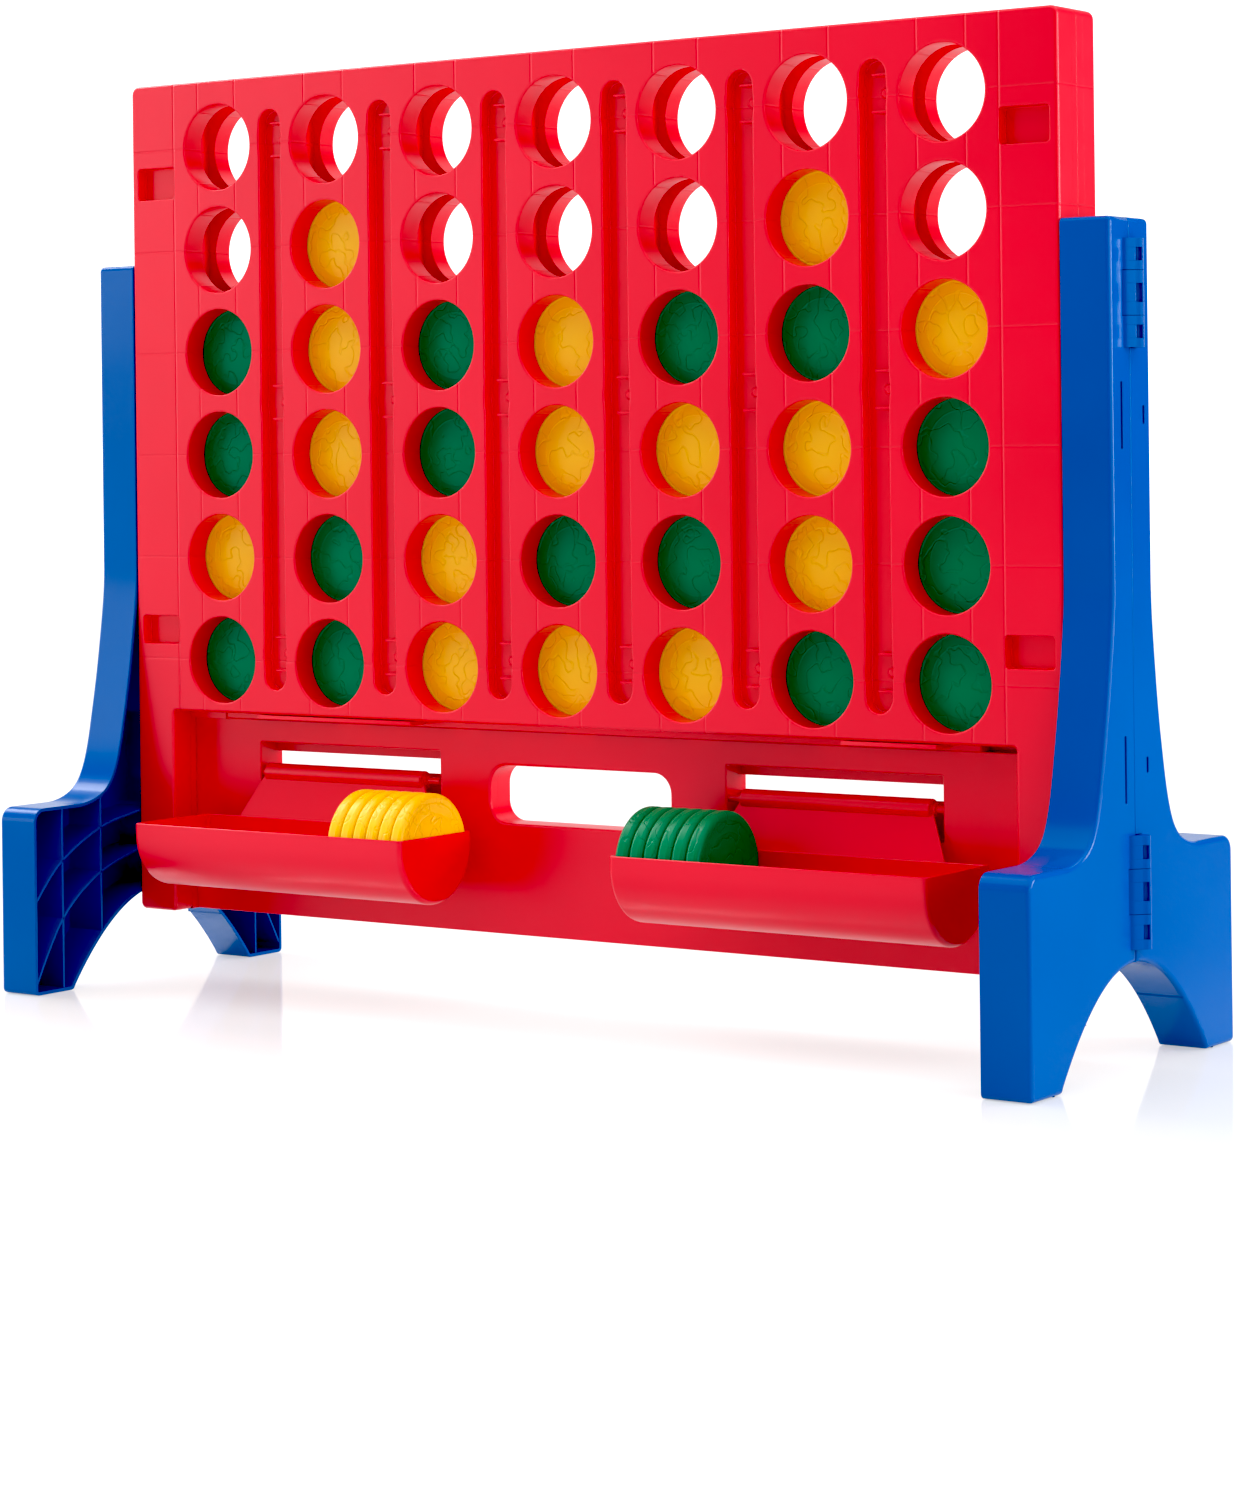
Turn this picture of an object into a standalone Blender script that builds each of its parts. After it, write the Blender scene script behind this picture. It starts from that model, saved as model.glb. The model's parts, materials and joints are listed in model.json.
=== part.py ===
"""Giant four in a row: a garden-size upright disc-dropping game.

Two red shells snap together around seven disc channels.  A slotted release bar
lies under the channels, two swinging trays hang in windows of the lower panel,
and a folding blue leg stands at each end.  Metres, +Z up, floor at Z = 0, the
players' front is -Y and the board's middle plane is Y = 0.
"""
import math

import bmesh
import bpy
from mathutils import Vector

# ---- general fits
GAP = 0.0003
HALF_GAP = GAP / 2
OVERCUT = 0.004

# ---- board
COLUMNS = 7
ROWS = 6
COLUMN_PITCH = 0.145
ROW_PITCH = 0.1065
GRID_CENTRE_Z = 0.6044
BOARD_HALF_WIDTH = 0.554
BOARD_BOTTOM_Z = 0.073
BOARD_TOP_Z = 0.940
BOARD_HALF_DEPTH = 0.035
BOARD_CORNER = 0.008
HOLE_RADIUS = 0.0446
HOLE_SIDES = 20
CHANNEL_WIDTH = 0.1072
CHANNEL_HALF_DEPTH = 0.010

# ---- separator grooves between the columns, and the pockets in the side columns
GROOVE_WIDTH = 0.0276
GROOVE_DEPTH = 0.012
GROOVE_BOTTOM_Z = 0.309
GROOVE_TOP_Z = 0.905
GROOVE_END_SIDES = 6
POCKET_IN = 0.4945
POCKET_OUT = 0.545
POCKET_HEIGHTS = ((0.3535, 0.383), (0.8197, 0.853))

# ---- hollow insides of the shells, hidden once they are snapped together
SKIN = 0.0035
SEPARATOR_HOLLOW_WIDTH = 0.0300
SEPARATOR_HOLLOW_Z = (0.3000, 0.9330)
SIDE_HOLLOW_X = (0.4925, 0.5500)
SIDE_HOLLOW_UPPER_Z = (0.3960, 0.8070)
SIDE_HOLLOW_TOP_Z = (0.8660, 0.9330)
SIDE_HOLLOW_LOW_X = (0.5080, 0.5500)
SIDE_HOLLOW_LOW_Z = (0.0780, 0.2700)
PANEL_RIB = 0.015
PANEL_HOLLOW_TOP_Z = 0.256

# ---- lower recess and rear panel
RECESS_HALF_WIDTH = 0.504
RECESS_TOP_Z = 0.2835
LEDGE_Z = 0.2752
CHUTE_BOTTOM_Z = 0.262
CHUTE_WIDTH = 0.108
HAND_HALF_WIDTH = 0.109
HAND_BOTTOM_Z = 0.183
HAND_TOP_Z = 0.240
HAND_CORNER = 0.020

# ---- release bar
BAR_END = 0.4535
BAR_HALF_DEPTH = 0.0097
BAR_BOTTOM_Z = 0.2757
BAR_TOP_Z = 0.2848
BAR_SLOT_LENGTH = 0.108
BAR_SLOT_HALF_DEPTH = 0.0080
GRIP_SPANS = ((-0.388, -0.186), (0.320, 0.422))
GRIP_FRONT_Y = -0.0345
GRIP_BOTTOM_Z = 0.2785
GRIP_TOP_Z = 0.2828
BAR_POCKET_END = 0.5300

# ---- discs
DISC_DIAMETER = 0.1062
DISC_THICKNESS = 0.0155
DISC_SIDES = 20
LAYOUT = (
    ".......",
    ".Y...Y.",
    "GYGYGGY",
    "GYGYYYG",
    "YGYGGYG",
    "GGYYYGG",
)
TRAY_DISCS = 6

# ---- trays
TRAY_CENTRE_X = 0.295
TRAY_HALF_LENGTH = 0.171
TRAY_CENTRE_Y = -0.0725
TRAY_RADIUS = 0.0565
TRAY_WALL = 0.0025
TRAY_ARC_Z = 0.1645
TRAY_RIM_Z = 0.1755
TRAY_ARC_SIDES = 14
ROLL_Y = 0.006
ROLL_Z = 0.220
ROLL_RADIUS = 0.009
ROLL_HALF_LENGTH = 0.104
ROLL_SIDES = 12
PLATE_HALF_BOTTOM = 0.130
PIN_RADIUS = 0.0035
PIN_END = 0.1235
STANDOFF_X = 0.100
STANDOFF_HALF = 0.0015
WINDOW_HALF_WIDTH = 0.119
WINDOW_CENTRE_X = 0.292
WINDOW_BOTTOM_Z = 0.190
WINDOW_TOP_Z = 0.2515
SLIT_TOP_Z = 0.2455
WINDOW_SKIN_Y = 0.026

# ---- legs
LEG_IN = BOARD_HALF_WIDTH + GAP
LEG_OUT = 0.602
LEG_WALL = 0.003
LEG_RIM = 0.0035
LEG_TOP_Z = 0.752
LEG_TOP_HALF = 0.0355
LEG_STRAIGHT_Z = 0.430
FOOT_HALF = 0.191
SHOULDER_Z = 0.191
SHOULDER_CORNER = 0.014
FLARE = ((0.0385, 0.395), (0.0430, 0.360), (0.0485, 0.325), (0.0555, 0.288),
         (0.0640, 0.248), (0.0740, 0.218), (0.0930, 0.1985), (0.1180, 0.191))
ARCH_HALF = 0.137
ARCH_TOP_Z = 0.0955
ARCH_SIDES = 8
FOOT_CHAMFER = 0.004
RIB_HALF = 0.0012
RIB_PLACES = (0.092, 0.149)
HOOK_SLITS = ((-0.016, 0.548, 0.607), (-0.016, 0.237, 0.296),
              (0.025, 0.570, 0.586), (0.025, 0.261, 0.275))
HOOK_SLIT_HALF = 0.0018

# ---- leg hinges
HINGE_X = 0.605
KNUCKLE_RADIUS = 0.012
KNUCKLE_CLEARANCE = 0.0126
KNUCKLE_SIDES = 16
KNUCKLE_BORE = 0.0034
HINGE_PIN_RADIUS = 0.0030
HINGE_PIN_SIDES = 12
KNUCKLE_GAP = 0.0004
HINGE_LEVELS = {"upper": (0.637, 0.665, 0.705, 0.733), "lower": (0.108, 0.139, 0.179, 0.208)}

RED = ("red_polypropylene", (0.78, 0.010, 0.030, 1.0), 0.35)
BLUE = ("blue_polypropylene", (0.003, 0.075, 0.50, 1.0), 0.33)
GREEN = ("green_disc_plastic", (0.002, 0.165, 0.072, 1.0), 0.40)
YELLOW = ("yellow_disc_plastic", (0.90, 0.42, 0.012, 1.0), 0.40)
DARK = ("dark_pin_plastic", (0.003, 0.045, 0.30, 1.0), 0.45)


def clear_scene():
    for item in list(bpy.data.objects):
        bpy.data.objects.remove(item, do_unlink=True)


def material(spec):
    name, colour, roughness = spec
    found = bpy.data.materials.get(name)
    if found:
        return found
    made = bpy.data.materials.new(name)
    made.use_nodes = True
    shader = made.node_tree.nodes["Principled BSDF"]
    shader.inputs["Base Color"].default_value = colour
    shader.inputs["Roughness"].default_value = roughness
    shader.inputs["Metallic"].default_value = 0.0
    return made


def mesh_object(name, corners, faces, spec=None):
    mesh = bpy.data.meshes.new(name)
    mesh.from_pydata(corners, [], faces)
    work = bmesh.new()
    work.from_mesh(mesh)
    bmesh.ops.recalc_face_normals(work, faces=work.faces)
    work.to_mesh(mesh)
    work.free()
    made = bpy.data.objects.new(name, mesh)
    bpy.context.scene.collection.objects.link(made)
    if spec:
        mesh.materials.append(material(spec))
    return made


class Solids:
    """Closed prisms collected into one mesh; they must not touch each other."""

    def __init__(self):
        self.corners = []
        self.faces = []

    def prism(self, outline, axis, low, high):
        """Extrude a 2-D outline along an axis; outline holds the other two coordinates."""
        start = len(self.corners)
        count = len(outline)
        for level in (low, high):
            for first, second in outline:
                spot = [first, second]
                spot.insert(axis, level)
                self.corners.append(tuple(spot))
        self.faces.append([start + k for k in range(count)])
        self.faces.append([start + count + k for k in reversed(range(count))])
        for k in range(count):
            after = (k + 1) % count
            self.faces.append([start + k, start + after, start + count + after, start + count + k])

    def box(self, x, y, z):
        self.prism([(y[0], z[0]), (y[1], z[0]), (y[1], z[1]), (y[0], z[1])], 0, x[0], x[1])

    def build(self, name, spec=None):
        return mesh_object(name, self.corners, self.faces, spec)


def circle(centre, radius, sides, turn=0.0):
    points = []
    for k in range(sides):
        angle = 2 * math.pi * (k + turn) / sides
        points.append((centre[0] + radius * math.cos(angle), centre[1] + radius * math.sin(angle)))
    return points


def rounded_box(low, high, radius, steps):
    """Outline of a rectangle with round corners, anticlockwise."""
    points = []
    centres = ((high[0] - radius, low[1] + radius, -90), (high[0] - radius, high[1] - radius, 0),
               (low[0] + radius, high[1] - radius, 90), (low[0] + radius, low[1] + radius, 180))
    for x, y, start in centres:
        for k in range(steps + 1):
            angle = math.radians(start + 90 * k / steps)
            points.append((x + radius * math.cos(angle), y + radius * math.sin(angle)))
    return points


def carve(target, cutter, operation="DIFFERENCE"):
    """Apply an exact Boolean and drop the cutter."""
    cutter.hide_render = True
    cutter.display_type = "WIRE"
    step = target.modifiers.new("carve", "BOOLEAN")
    step.operation = operation
    step.solver = "EXACT"
    step.object = cutter
    graph = bpy.context.evaluated_depsgraph_get()
    result = bpy.data.meshes.new_from_object(target.evaluated_get(graph))
    target.modifiers.clear()
    old = target.data
    target.data = result
    result.name = target.name
    bpy.data.meshes.remove(old)
    bpy.data.objects.remove(cutter, do_unlink=True)


def tidy(target):
    work = bmesh.new()
    work.from_mesh(target.data)
    bmesh.ops.remove_doubles(work, verts=work.verts, dist=0.00001)
    bmesh.ops.dissolve_limit(work, angle_limit=math.radians(0.05), verts=work.verts, edges=work.edges)
    bmesh.ops.triangulate(work, faces=[face for face in work.faces if len(face.verts) > 4])
    work.to_mesh(target.data)
    work.free()


def set_origin(target, spot):
    shift = Vector(spot)
    for corner in target.data.vertices:
        corner.co -= shift
    target.location = shift


def column_x(column):
    return (column - (COLUMNS - 1) / 2) * COLUMN_PITCH


def row_z(row):
    """Centre height of a row, row 0 at the top."""
    return GRID_CENTRE_Z + ((ROWS - 1) / 2 - row) * ROW_PITCH


# ---------------------------------------------------------------- the two shells
def portal_outline():
    """Front view of the front shell: the board with the recess cut from its foot."""
    half = BOARD_HALF_WIDTH
    corner = BOARD_CORNER
    return [(-half, BOARD_BOTTOM_Z + corner), (-half + corner, BOARD_BOTTOM_Z),
            (-RECESS_HALF_WIDTH, BOARD_BOTTOM_Z), (-RECESS_HALF_WIDTH, RECESS_TOP_Z),
            (RECESS_HALF_WIDTH, RECESS_TOP_Z), (RECESS_HALF_WIDTH, BOARD_BOTTOM_Z),
            (half - corner, BOARD_BOTTOM_Z), (half, BOARD_BOTTOM_Z + corner),
            (half, BOARD_TOP_Z - corner), (half - corner, BOARD_TOP_Z),
            (-half + corner, BOARD_TOP_Z), (-half, BOARD_TOP_Z - corner)]


def panel_outline():
    half = BOARD_HALF_WIDTH
    corner = BOARD_CORNER
    return [(-half, BOARD_BOTTOM_Z + corner), (-half + corner, BOARD_BOTTOM_Z),
            (half - corner, BOARD_BOTTOM_Z), (half, BOARD_BOTTOM_Z + corner),
            (half, BOARD_TOP_Z - corner), (half - corner, BOARD_TOP_Z),
            (-half + corner, BOARD_TOP_Z), (-half, BOARD_TOP_Z - corner)]


def disc_holes(low, high):
    cutters = Solids()
    for column in range(COLUMNS):
        for row in range(ROWS):
            outline = circle((column_x(column), row_z(row)), HOLE_RADIUS, HOLE_SIDES, 0.5)
            cutters.prism(outline, 1, low, high)
    return cutters.build("hole_cutters")


def channels(low, high, bottom):
    cutters = Solids()
    for column in range(COLUMNS):
        x = column_x(column)
        cutters.box((x - CHANNEL_WIDTH / 2, x + CHANNEL_WIDTH / 2), (low, high),
                    (bottom, BOARD_TOP_Z + OVERCUT))
    return cutters.build("channel_cutters")


def groove_outline(x):
    radius = GROOVE_WIDTH / 2
    points = []
    for centre, start in ((GROOVE_TOP_Z - radius, 0), (GROOVE_BOTTOM_Z + radius, 180)):
        for k in range(GROOVE_END_SIDES + 1):
            angle = math.radians(start + 180 * k / GROOVE_END_SIDES)
            points.append((x + radius * math.cos(angle), centre + radius * math.sin(angle)))
    return points


def groove_cutters(low, high):
    cutters = Solids()
    for gap in range(COLUMNS - 1):
        cutters.prism(groove_outline(column_x(gap) + COLUMN_PITCH / 2), 1, low, high)
    for side in (-1, 1):
        for bottom, top in POCKET_HEIGHTS:
            spread = sorted((side * POCKET_IN, side * POCKET_OUT))
            cutters.prism(rounded_box((spread[0], bottom), (spread[1], top), 0.004, 2), 1, low, high)
    return cutters.build("groove_cutters")


def shell_hollows(low, high, groove_floor, lower_columns):
    """Box hollows behind the separators and side columns, open towards the parting plane."""
    cutters = Solids()
    for gap in range(COLUMNS - 1):
        x = column_x(gap) + COLUMN_PITCH / 2
        half = SEPARATOR_HOLLOW_WIDTH / 2
        cutters.box((x - half, x + half), groove_floor, SEPARATOR_HOLLOW_Z)
    for side in (-1, 1):
        wide = sorted((side * SIDE_HOLLOW_X[0], side * SIDE_HOLLOW_X[1]))
        cutters.box(wide, (low, high), SIDE_HOLLOW_UPPER_Z)
        cutters.box(wide, (low, high), SIDE_HOLLOW_TOP_Z)
        if lower_columns:
            narrow = sorted((side * SIDE_HOLLOW_LOW_X[0], side * SIDE_HOLLOW_LOW_X[1]))
            cutters.box(narrow, (low, high), SIDE_HOLLOW_LOW_Z)
    return cutters.build("hollow_cutters")


def bar_pocket(low, high):
    cutters = Solids()
    cutters.box((RECESS_HALF_WIDTH - OVERCUT, BAR_POCKET_END), (low, high),
                (LEDGE_Z, BAR_TOP_Z + GAP))
    return cutters.build("bar_pocket_cutter")


def build_front_shell():
    body = Solids()
    body.prism(portal_outline(), 1, -BOARD_HALF_DEPTH, -HALF_GAP)
    shell = body.build("board_front_shell", RED)
    carve(shell, groove_cutters(-BOARD_HALF_DEPTH - OVERCUT, -BOARD_HALF_DEPTH + GROOVE_DEPTH))
    carve(shell, channels(-CHANNEL_HALF_DEPTH, OVERCUT, RECESS_TOP_Z - OVERCUT))
    floor = (-BOARD_HALF_DEPTH + GROOVE_DEPTH + SKIN, OVERCUT)
    carve(shell, shell_hollows(-BOARD_HALF_DEPTH + SKIN, OVERCUT, floor, True))
    carve(shell, release_space(-CHANNEL_HALF_DEPTH, OVERCUT))
    carve(shell, bar_pocket(-CHANNEL_HALF_DEPTH, OVERCUT))
    carve(shell, disc_holes(-BOARD_HALF_DEPTH - OVERCUT, OVERCUT))
    tidy(shell)
    return shell


def chute_cutters():
    """Sloping notches that lead a released disc forward off the panel's top."""
    cutters = Solids()
    outline = [(-OVERCUT, CHUTE_BOTTOM_Z - OVERCUT), (CHANNEL_HALF_DEPTH, LEDGE_Z),
               (CHANNEL_HALF_DEPTH, RECESS_TOP_Z + OVERCUT), (-OVERCUT, RECESS_TOP_Z + OVERCUT)]
    for column in range(COLUMNS):
        x = column_x(column)
        cutters.prism(outline, 0, x - CHUTE_WIDTH / 2, x + CHUTE_WIDTH / 2)
    return cutters.build("chute_cutters")


def window_cutters():
    front = Solids()
    back = Solids()
    for side in (-1, 1):
        centre = side * WINDOW_CENTRE_X
        span = (centre - WINDOW_HALF_WIDTH, centre + WINDOW_HALF_WIDTH)
        front.box(span, (-OVERCUT, WINDOW_SKIN_Y), (WINDOW_BOTTOM_Z, WINDOW_TOP_Z))
        back.box(span, (WINDOW_SKIN_Y - OVERCUT, BOARD_HALF_DEPTH + OVERCUT),
                 (WINDOW_BOTTOM_Z, SLIT_TOP_Z))
    return front.build("window_cutters"), back.build("slit_cutters")


def pin_socket_cutters():
    cutters = Solids()
    reach = PIN_END + GAP
    for side in (-1, 1):
        tray = side * TRAY_CENTRE_X
        window = side * WINDOW_CENTRE_X
        for end in (-1, 1):
            span = sorted((window + end * (WINDOW_HALF_WIDTH - OVERCUT), tray + end * (reach + 0.003)))
            cutters.prism(circle((ROLL_Y, ROLL_Z), PIN_RADIUS + 2 * GAP, ROLL_SIDES, 0.5), 0, *span)
    return cutters.build("pin_socket_cutters")


def hand_hole_cutter():
    cutter = Solids()
    outline = rounded_box((-HAND_HALF_WIDTH, HAND_BOTTOM_Z), (HAND_HALF_WIDTH, HAND_TOP_Z),
                          HAND_CORNER, 4)
    cutter.prism(outline, 1, -OVERCUT, BOARD_HALF_DEPTH + OVERCUT)
    return cutter.build("hand_hole_cutter")


def release_space(low, high):
    """Room for the release bar between the channels and the lower panel's top."""
    cutter = Solids()
    cutter.box((-RECESS_HALF_WIDTH, RECESS_HALF_WIDTH), (low, high), (LEDGE_Z, BAR_TOP_Z + GAP))
    return cutter.build("release_space_cutter")


def panel_hollows():
    """One hollow inside the lower panel, open at the foot, round the hand hole and windows."""
    cutters = Solids()
    depth = (SKIN, BOARD_HALF_DEPTH - SKIN)
    low = BOARD_BOTTOM_Z - OVERCUT
    inner = WINDOW_CENTRE_X - WINDOW_HALF_WIDTH - PANEL_RIB
    outer = WINDOW_CENTRE_X + WINDOW_HALF_WIDTH + PANEL_RIB
    hand = HAND_HALF_WIDTH + SKIN
    end = BOARD_HALF_WIDTH - SKIN
    outline = [(-end, low), (end, low), (end, PANEL_HOLLOW_TOP_Z), (outer, PANEL_HOLLOW_TOP_Z)]
    outline += [(outer, WINDOW_BOTTOM_Z - SKIN), (inner, WINDOW_BOTTOM_Z - SKIN)]
    outline += [(inner, PANEL_HOLLOW_TOP_Z), (hand, PANEL_HOLLOW_TOP_Z), (hand, HAND_BOTTOM_Z - SKIN)]
    outline += [(-x, z) for x, z in reversed(outline[2:])]
    cutters.prism(outline, 1, *depth)
    return cutters.build("panel_hollow_cutter")


def build_rear_shell():
    body = Solids()
    body.prism(panel_outline(), 1, HALF_GAP, BOARD_HALF_DEPTH)
    shell = body.build("board_rear_shell", RED)
    carve(shell, groove_cutters(BOARD_HALF_DEPTH - GROOVE_DEPTH, BOARD_HALF_DEPTH + OVERCUT))
    carve(shell, channels(-OVERCUT, CHANNEL_HALF_DEPTH, LEDGE_Z + OVERCUT))
    floor = (-OVERCUT, BOARD_HALF_DEPTH - GROOVE_DEPTH - SKIN)
    carve(shell, shell_hollows(-OVERCUT, BOARD_HALF_DEPTH - SKIN, floor, False))
    carve(shell, release_space(-OVERCUT, CHANNEL_HALF_DEPTH))
    carve(shell, bar_pocket(-OVERCUT, CHANNEL_HALF_DEPTH))
    carve(shell, chute_cutters())
    carve(shell, disc_holes(-OVERCUT, BOARD_HALF_DEPTH + OVERCUT))
    window, slit = window_cutters()
    carve(shell, window)
    carve(shell, slit)
    carve(shell, pin_socket_cutters())
    carve(shell, panel_hollows())
    carve(shell, hand_hole_cutter())
    tidy(shell)
    return shell


# ---------------------------------------------------------------- release bar
def build_release_bar():
    body = Solids()
    body.box((-BAR_END, BAR_END), (-BAR_HALF_DEPTH, BAR_HALF_DEPTH), (BAR_BOTTOM_Z, BAR_TOP_Z))
    bar = body.build("release_bar", RED)
    grips = Solids()
    for start, end in GRIP_SPANS:
        grips.box((start, end), (GRIP_FRONT_Y, -BAR_HALF_DEPTH + 0.001), (GRIP_BOTTOM_Z, GRIP_TOP_Z))
    carve(bar, grips.build("grip_adders"), "UNION")
    slots = Solids()
    for gap in range(COLUMNS - 1):
        x = column_x(gap) + COLUMN_PITCH / 2
        slots.box((x - BAR_SLOT_LENGTH / 2, x + BAR_SLOT_LENGTH / 2),
                  (-BAR_SLOT_HALF_DEPTH, BAR_SLOT_HALF_DEPTH),
                  (BAR_BOTTOM_Z - OVERCUT, BAR_TOP_Z + OVERCUT))
    carve(bar, slots.build("slot_cutters"))
    tidy(bar)
    return bar


# ---------------------------------------------------------------- discs
def smooth_sides(target, axis):
    for face in target.data.polygons:
        face.use_smooth = abs(face.normal[axis]) < 0.5


def build_disc(name, spec, centre, axis):
    body = Solids()
    half = DISC_THICKNESS / 2
    body.prism(circle((0.0, 0.0), DISC_DIAMETER / 2, DISC_SIDES), axis, -half, half)
    disc = body.build(name, spec)
    smooth_sides(disc, axis)
    disc.location = Vector(centre)
    return disc


def build_board_discs():
    for row in range(ROWS):
        for column in range(COLUMNS):
            mark = LAYOUT[row][column]
            if mark == ".":
                continue
            colour, spec = ("yellow", YELLOW) if mark == "Y" else ("green", GREEN)
            name = "disc_{}_c{}_r{}".format(colour, column + 1, row + 1)
            build_disc(name, spec, (column_x(column), 0.0, row_z(row)), 1)


def tray_disc_height():
    return TRAY_ARC_Z - (TRAY_RADIUS - TRAY_WALL - GAP - DISC_DIAMETER / 2)


def build_tray_discs():
    pitch = DISC_THICKNESS + GAP
    for k in range(TRAY_DISCS):
        inset = TRAY_HALF_LENGTH - TRAY_WALL - GAP - DISC_THICKNESS / 2
        left = -TRAY_CENTRE_X + inset - k * pitch
        right = TRAY_CENTRE_X - inset + k * pitch
        height = tray_disc_height()
        build_disc("disc_yellow_tray_{}".format(k + 1), YELLOW, (left, TRAY_CENTRE_Y, height), 0)
        build_disc("disc_green_tray_{}".format(k + 1), GREEN, (right, TRAY_CENTRE_Y, height), 0)


# ---------------------------------------------------------------- trays
def trough_outline(radius, top):
    """Half-round section in (y, z), open towards the top."""
    points = [(TRAY_CENTRE_Y - radius, top)]
    for k in range(TRAY_ARC_SIDES + 1):
        angle = math.pi + math.pi * k / TRAY_ARC_SIDES
        points.append((TRAY_CENTRE_Y + radius * math.cos(angle), TRAY_ARC_Z + radius * math.sin(angle)))
    points.append((TRAY_CENTRE_Y + radius, top))
    return points


def back_plate(centre):
    """Leaning trapezoid plate that joins the tray's rear rim to the roll."""
    low_y = TRAY_CENTRE_Y + TRAY_RADIUS
    low_z = TRAY_RIM_Z - 0.008
    high_y = ROLL_Y - 0.002
    lean = Vector((high_y - low_y, ROLL_Z - low_z)).normalized()
    side = Vector((lean.y, -lean.x)) * (TRAY_WALL / 2)
    corners = []
    for y, z, half in ((low_y - TRAY_WALL / 2, low_z, PLATE_HALF_BOTTOM), (high_y, ROLL_Z, ROLL_HALF_LENGTH)):
        for sign in (-1, 1):
            for end in (-1, 1):
                corners.append((centre + end * half, y + sign * side.x, z + sign * side.y))
    faces = [(0, 1, 3, 2), (4, 6, 7, 5), (0, 4, 5, 1), (2, 3, 7, 6), (0, 2, 6, 4), (1, 5, 7, 3)]
    return mesh_object("plate", corners, faces)


def build_tray(name, side):
    centre = side * TRAY_CENTRE_X
    shell = Solids()
    shell.prism(trough_outline(TRAY_RADIUS, TRAY_RIM_Z), 0, centre - TRAY_HALF_LENGTH, centre + TRAY_HALF_LENGTH)
    tray = shell.build(name, RED)
    carve(tray, back_plate(centre), "UNION")
    hollow = Solids()
    hollow.prism(trough_outline(TRAY_RADIUS - TRAY_WALL, TRAY_RIM_Z + OVERCUT), 0,
                 centre - TRAY_HALF_LENGTH + TRAY_WALL, centre + TRAY_HALF_LENGTH - TRAY_WALL)
    carve(tray, hollow.build("hollow_cutter"))
    roll = Solids()
    roll.prism(circle((ROLL_Y, ROLL_Z), ROLL_RADIUS, ROLL_SIDES, 0.5), 0,
               centre - ROLL_HALF_LENGTH, centre + ROLL_HALF_LENGTH)
    carve(tray, roll.build("roll_adder"), "UNION")
    pins = Solids()
    pins.prism(circle((ROLL_Y, ROLL_Z), PIN_RADIUS, ROLL_SIDES, 0.5), 0, centre - PIN_END, centre + PIN_END)
    carve(tray, pins.build("pin_adder"), "UNION")
    stands = Solids()
    rear = TRAY_CENTRE_Y + TRAY_RADIUS
    for end in (-1, 1):
        x = centre + end * STANDOFF_X
        stands.box((x - STANDOFF_HALF, x + STANDOFF_HALF), (rear - 0.002, -GAP), (0.135, 0.168))
    carve(tray, stands.build("standoff_adder"), "UNION")
    tidy(tray)
    set_origin(tray, (centre, ROLL_Y, ROLL_Z))
    return tray


# ---------------------------------------------------------------- legs
def leg_outline():
    """Half profile in (y, z) for the rear half, anticlockwise, starting at the arch top."""
    points = []
    for k in range(ARCH_SIDES + 1):
        y = HALF_GAP + (ARCH_HALF - HALF_GAP) * k / ARCH_SIDES
        points.append((y, ARCH_TOP_Z * (1 - (y / ARCH_HALF) ** 2)))
    points.append((FOOT_HALF - FOOT_CHAMFER, 0.0))
    points.append((FOOT_HALF, FOOT_CHAMFER))
    for k in range(4):
        angle = math.radians(90 * k / 3)
        points.append((FOOT_HALF - SHOULDER_CORNER + SHOULDER_CORNER * math.cos(angle),
                       SHOULDER_Z - SHOULDER_CORNER + SHOULDER_CORNER * math.sin(angle)))
    points.extend(reversed(FLARE))
    points.append((LEG_TOP_HALF, LEG_STRAIGHT_Z))
    points.append((LEG_TOP_HALF, LEG_TOP_Z - FOOT_CHAMFER))
    points.append((LEG_TOP_HALF - FOOT_CHAMFER, LEG_TOP_Z))
    points.append((HALF_GAP, LEG_TOP_Z))
    return points


def inset(points, distance):
    """Move every edge of an anticlockwise outline inward and meet them again."""
    count = len(points)
    moved = []
    for k in range(count):
        before = Vector(points[k]) - Vector(points[k - 1])
        after = Vector(points[(k + 1) % count]) - Vector(points[k])
        first = Vector((-before.y, before.x)).normalized()
        second = Vector((-after.y, after.x)).normalized()
        middle = (first + second).normalized()
        reach = distance / max(0.35, middle.dot(first))
        moved.append(tuple(Vector(points[k]) + middle * reach))
    return moved


def mirrored(points, front):
    if not front:
        return points
    return [(-y, z) for y, z in reversed(points)]


def curved_rib(y_low, y_high, height):
    """Band that follows the arch at a height above it, as an outline in (y, z)."""
    steps = 6
    upper = []
    lower = []
    for k in range(steps + 1):
        y = y_low + (y_high - y_low) * k / steps
        z = ARCH_TOP_Z + height - 0.125 * abs(y / FOOT_HALF) ** 2.2
        upper.append((y, z + RIB_HALF))
        lower.append((y, z - RIB_HALF))
    return lower + list(reversed(upper))


def rib_solids(side, front):
    """Upright ribs and curved ribs inside one leg half, as separate cutters' keepers."""
    span = sorted((side * (LEG_IN - OVERCUT), side * (LEG_OUT + OVERCUT)))
    keepers = []
    for place in RIB_PLACES:
        upright = Solids()
        outline = [(place - RIB_HALF, -OVERCUT), (place + RIB_HALF, -OVERCUT),
                   (place + RIB_HALF, LEG_TOP_Z), (place - RIB_HALF, LEG_TOP_Z)]
        upright.prism(mirrored(outline, front), 0, *span)
        keepers.append(upright.build("upright_rib"))
    for height in (0.042, 0.083):
        curve = Solids()
        curve.prism(mirrored(curved_rib(-OVERCUT, FOOT_HALF + OVERCUT, height), front), 0, *span)
        keepers.append(curve.build("curved_rib"))
    return keepers


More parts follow.
